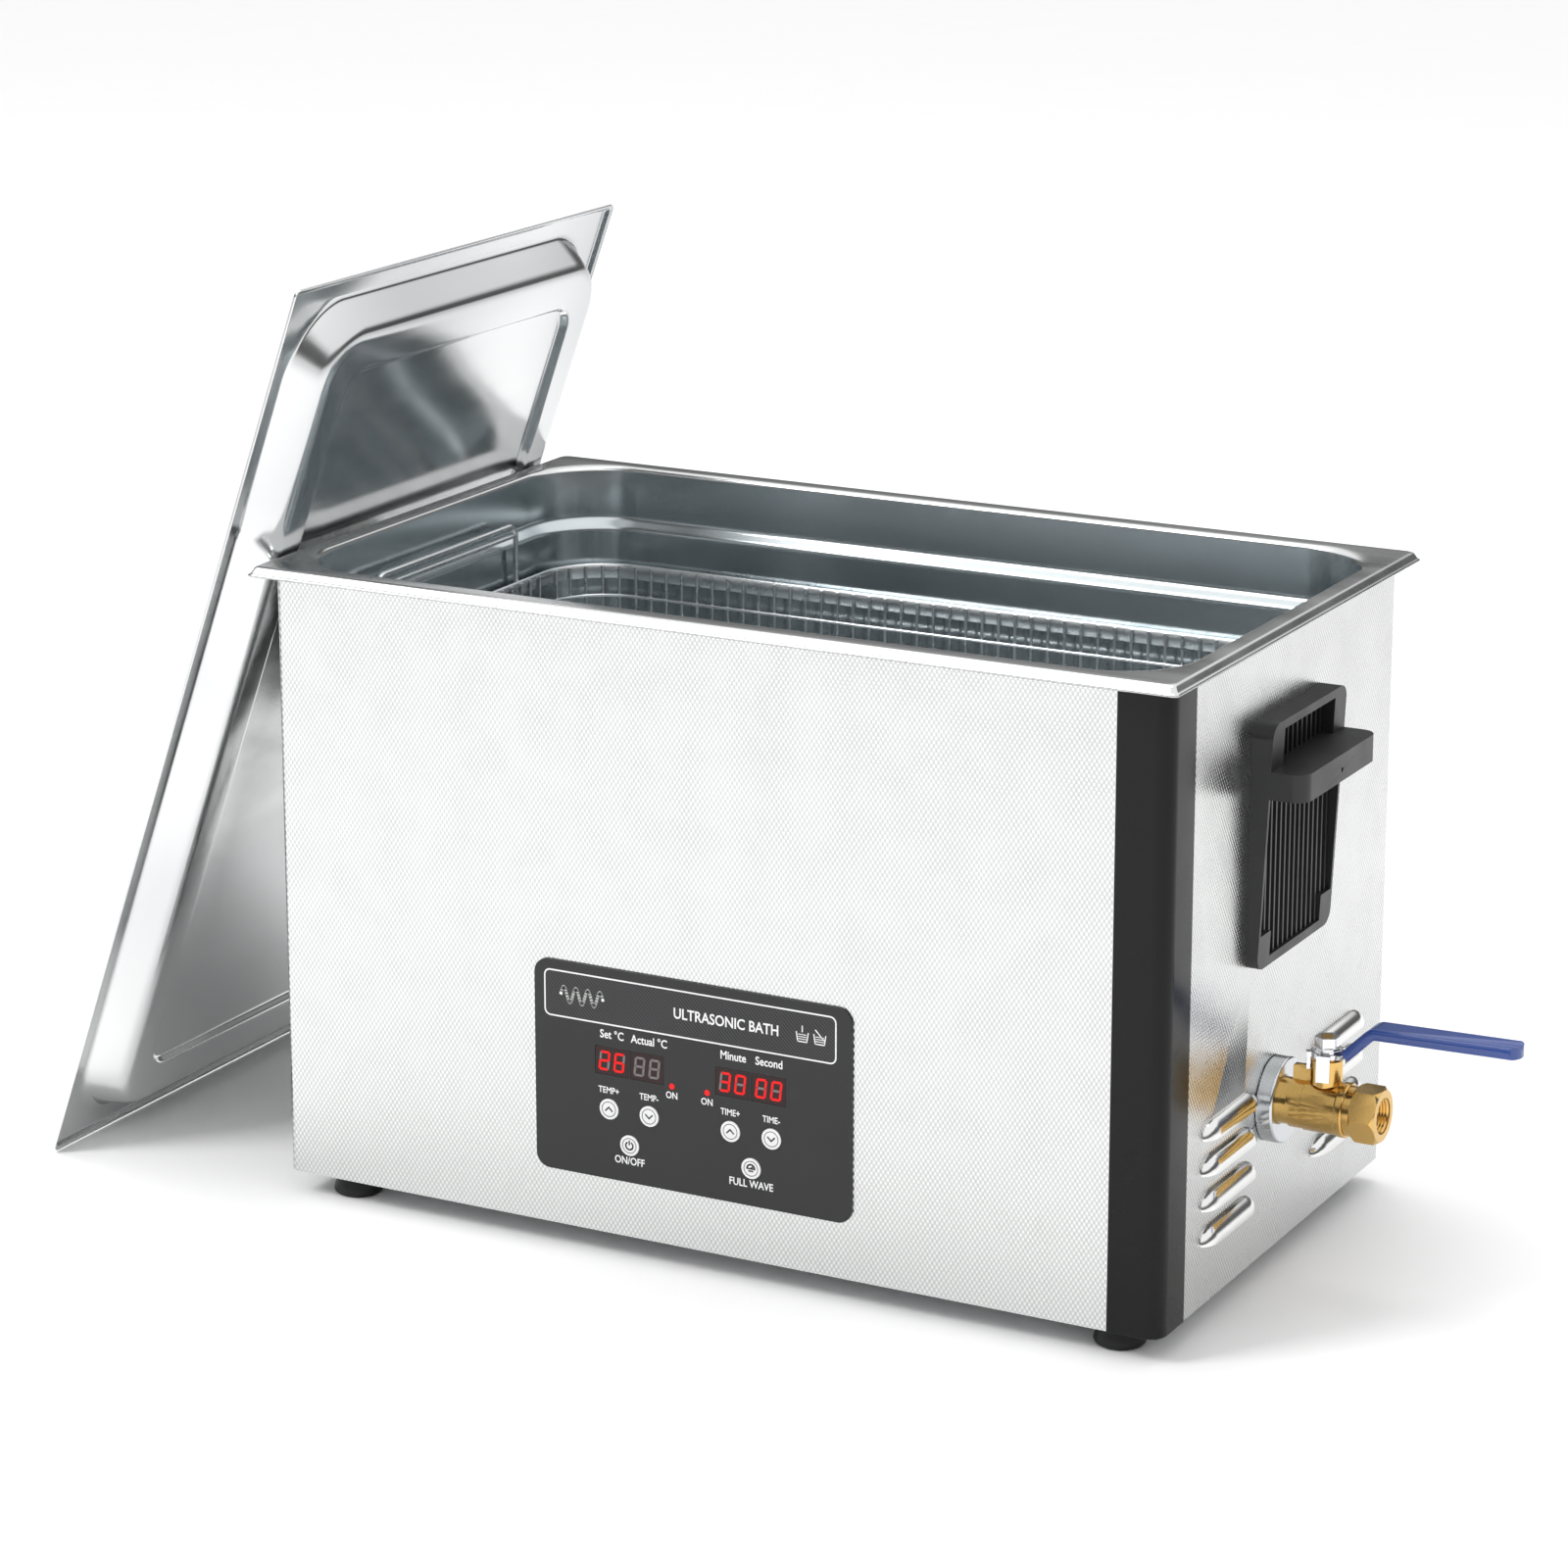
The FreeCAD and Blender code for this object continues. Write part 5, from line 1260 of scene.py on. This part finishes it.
@dataclass
class DrainValve:
    """The brass ball valve, its steel ring and its blue-sleeved lever."""

    axis_y: float = -9.5
    axis_z: float = 97.4
    mouth: float = 317.5
    thread: float = 9.5
    pitch: float = 1.6
    depth: float = 12.0

    def build(self) -> None:
        """Makes the valve, the thread rings in its mouth and the lever."""
        softened_node("drain_ring", RING_STEEL, 0.5, 3)
        softened_node("valve_body", BRASS, 0.5, 3)
        softened_node("valve_end", BRASS, 0.45, 3)
        softened_node("lever_plate", ZINC_PLATE, 0.35, 3)
        softened_node("lever_grip", BLUE_VINYL, 0.0)
        softened_node("lever_nut", ZINC_PLATE, 0.3, 3)
        self.build_thread()

    def build_thread(self) -> None:
        """Thread crests, as rings just inside the mouth's bore."""
        along_x = Matrix.Rotation(math.radians(90), 4, "Y")
        place = Matrix.Translation((self.mouth, self.axis_y, self.axis_z)) @ along_x
        root, crest = self.thread - 0.02, self.thread - 0.85
        count = int(self.depth / self.pitch)
        profile = []
        for index in range(count):
            base = index * self.pitch - self.depth
            profile += [(root, base), (crest, base + 0.5 * self.pitch)]
        profile.append((root, count * self.pitch - self.depth))
        bm = turned_piece(profile, place, 56)
        bmesh.ops.reverse_faces(bm, faces=bm.faces)
        finish_piece("mouth_thread", bm, "housing", BRASS, sharp=25.0)


@dataclass
class RearPanel:
    """The fan guard, mains inlet, rocker and fuse on the back."""

    def build(self) -> None:
        """Makes the rear pieces."""
        softened_node("fan_guard", ZINC_PLATE, 0.0)
        for node in ("mains_inlet", "rocker_frame", "power_rocker", "fuse_holder"):
            softened_node(node, BLACK_PLASTIC, 0.35, 2)


class Insides:
    """The pieces behind the sheet, which keep their CAD shapes."""

    def build(self) -> None:
        """Gives every CAD node that is still shown its finish."""
        for name, node in frame["nodes"].items():
            if node.hide_render:
                continue
            look = NODE_FINISHES.get(name, BLACK_PLASTIC)
            node.data.materials.clear()
            node.data.materials.append(look.material())
            LOG.info("%s keeps its CAD shape", name)


# ---------------------------------------------------------------- studio
@dataclass
class Studio:
    """The pale floor, soft lights and camera."""

    place: Point = (1.1248, -2.1679, 0.9235)
    pitch: float = 14.395
    turn: float = 28.09
    lens: float = 109.41
    shift: float = -0.08

    def build(self) -> None:
        """Makes the floor, lights, world and camera."""
        bm = bmesh.new()
        bmesh.ops.create_grid(bm, x_segments=1, y_segments=1, size=30.0)
        mesh = bpy.data.meshes.new("floor")
        bm.to_mesh(mesh)
        bm.free()
        mesh.materials.append(FLOOR_WHITE.material())
        floor = bpy.data.objects.new("floor", mesh)
        bpy.context.scene.collection.objects.link(floor)
        self.build_world()
        self.light("key_light", (-1.5, -1.9, 2.4), 1.0, 46.0)
        self.light("top_light", (-0.3, 0.5, 2.8), 1.4, 26.0)
        bpy.context.scene.view_settings.view_transform = "Standard"
        self.build_camera()

    def light(self, name: str, place: Point, size: float, power: float) -> None:
        """A square soft light that looks at the machine.

        Args:
            name: the light's name.
            place: where it stands, in metres.
            size: its side, in metres.
            power: its power in watts.
        """
        data = bpy.data.lights.new(name, "AREA")
        data.size = size
        data.energy = power
        lamp = bpy.data.objects.new(name, data)
        lamp.location = place
        aim = Vector((0.0, 0.0, 0.2)) - Vector(place)
        lamp.rotation_euler = aim.to_track_quat("-Z", "Y").to_euler()
        bpy.context.scene.collection.objects.link(lamp)

    def build_world(self) -> None:
        """A pale room that is darker towards the horizon on one side, for the steel to reflect."""
        world = bpy.data.worlds.new("room")
        bpy.context.scene.world = world
        world.use_nodes = True
        tree = world.node_tree
        background = tree.nodes["Background"]
        source = tree.nodes.new("ShaderNodeTexCoord")
        split = tree.nodes.new("ShaderNodeSeparateXYZ")
        tree.links.new(source.outputs["Generated"], split.inputs[0])
        ramp = tree.nodes.new("ShaderNodeValToRGB")
        ramp.color_ramp.elements[0].position = 0.0
        ramp.color_ramp.elements[0].color = (0.95, 0.95, 0.95, 1.0)
        ramp.color_ramp.elements[1].position = 1.0
        ramp.color_ramp.elements[1].color = (1.0, 1.0, 1.0, 1.0)
        for position, grey in ((0.50, 0.62), (0.54, 0.08), (0.66, 0.14), (0.73, 1.0)):
            element = ramp.color_ramp.elements.new(position)
            element.color = (grey, grey, grey, 1.0)
        half = tree.nodes.new("ShaderNodeMapRange")
        half.inputs["From Min"].default_value = -1.0
        tree.links.new(split.outputs["Z"], half.inputs["Value"])
        tree.links.new(half.outputs["Result"], ramp.inputs["Fac"])
        tree.links.new(ramp.outputs["Color"], background.inputs["Color"])
        background.inputs["Strength"].default_value = 1.14

    def build_camera(self) -> None:
        """The camera, above and to the right of the front."""
        data = bpy.data.cameras.new("camera")
        data.sensor_width = 36.0
        data.lens = self.lens
        data.shift_y = self.shift
        data.clip_end = 100.0
        camera = bpy.data.objects.new("camera", data)
        camera.location = self.place
        camera.rotation_euler = (math.radians(90.0 - self.pitch), 0.0, math.radians(self.turn))
        bpy.context.scene.collection.objects.link(camera)
        bpy.context.scene.camera = camera


def main() -> None:
    logging.basicConfig(level=logging.INFO)
    assemblies = (Housing(), Tank(), Lid(), Basket(), Panel(), SideGrips(), DrainValve(), RearPanel(),
                  Insides(), Studio())
    for assembly in assemblies:
        LOG.info("building %s", type(assembly).__name__)
        assembly.build()
    bpy.context.view_layer.update()


if __name__ == "__main__":
    main()
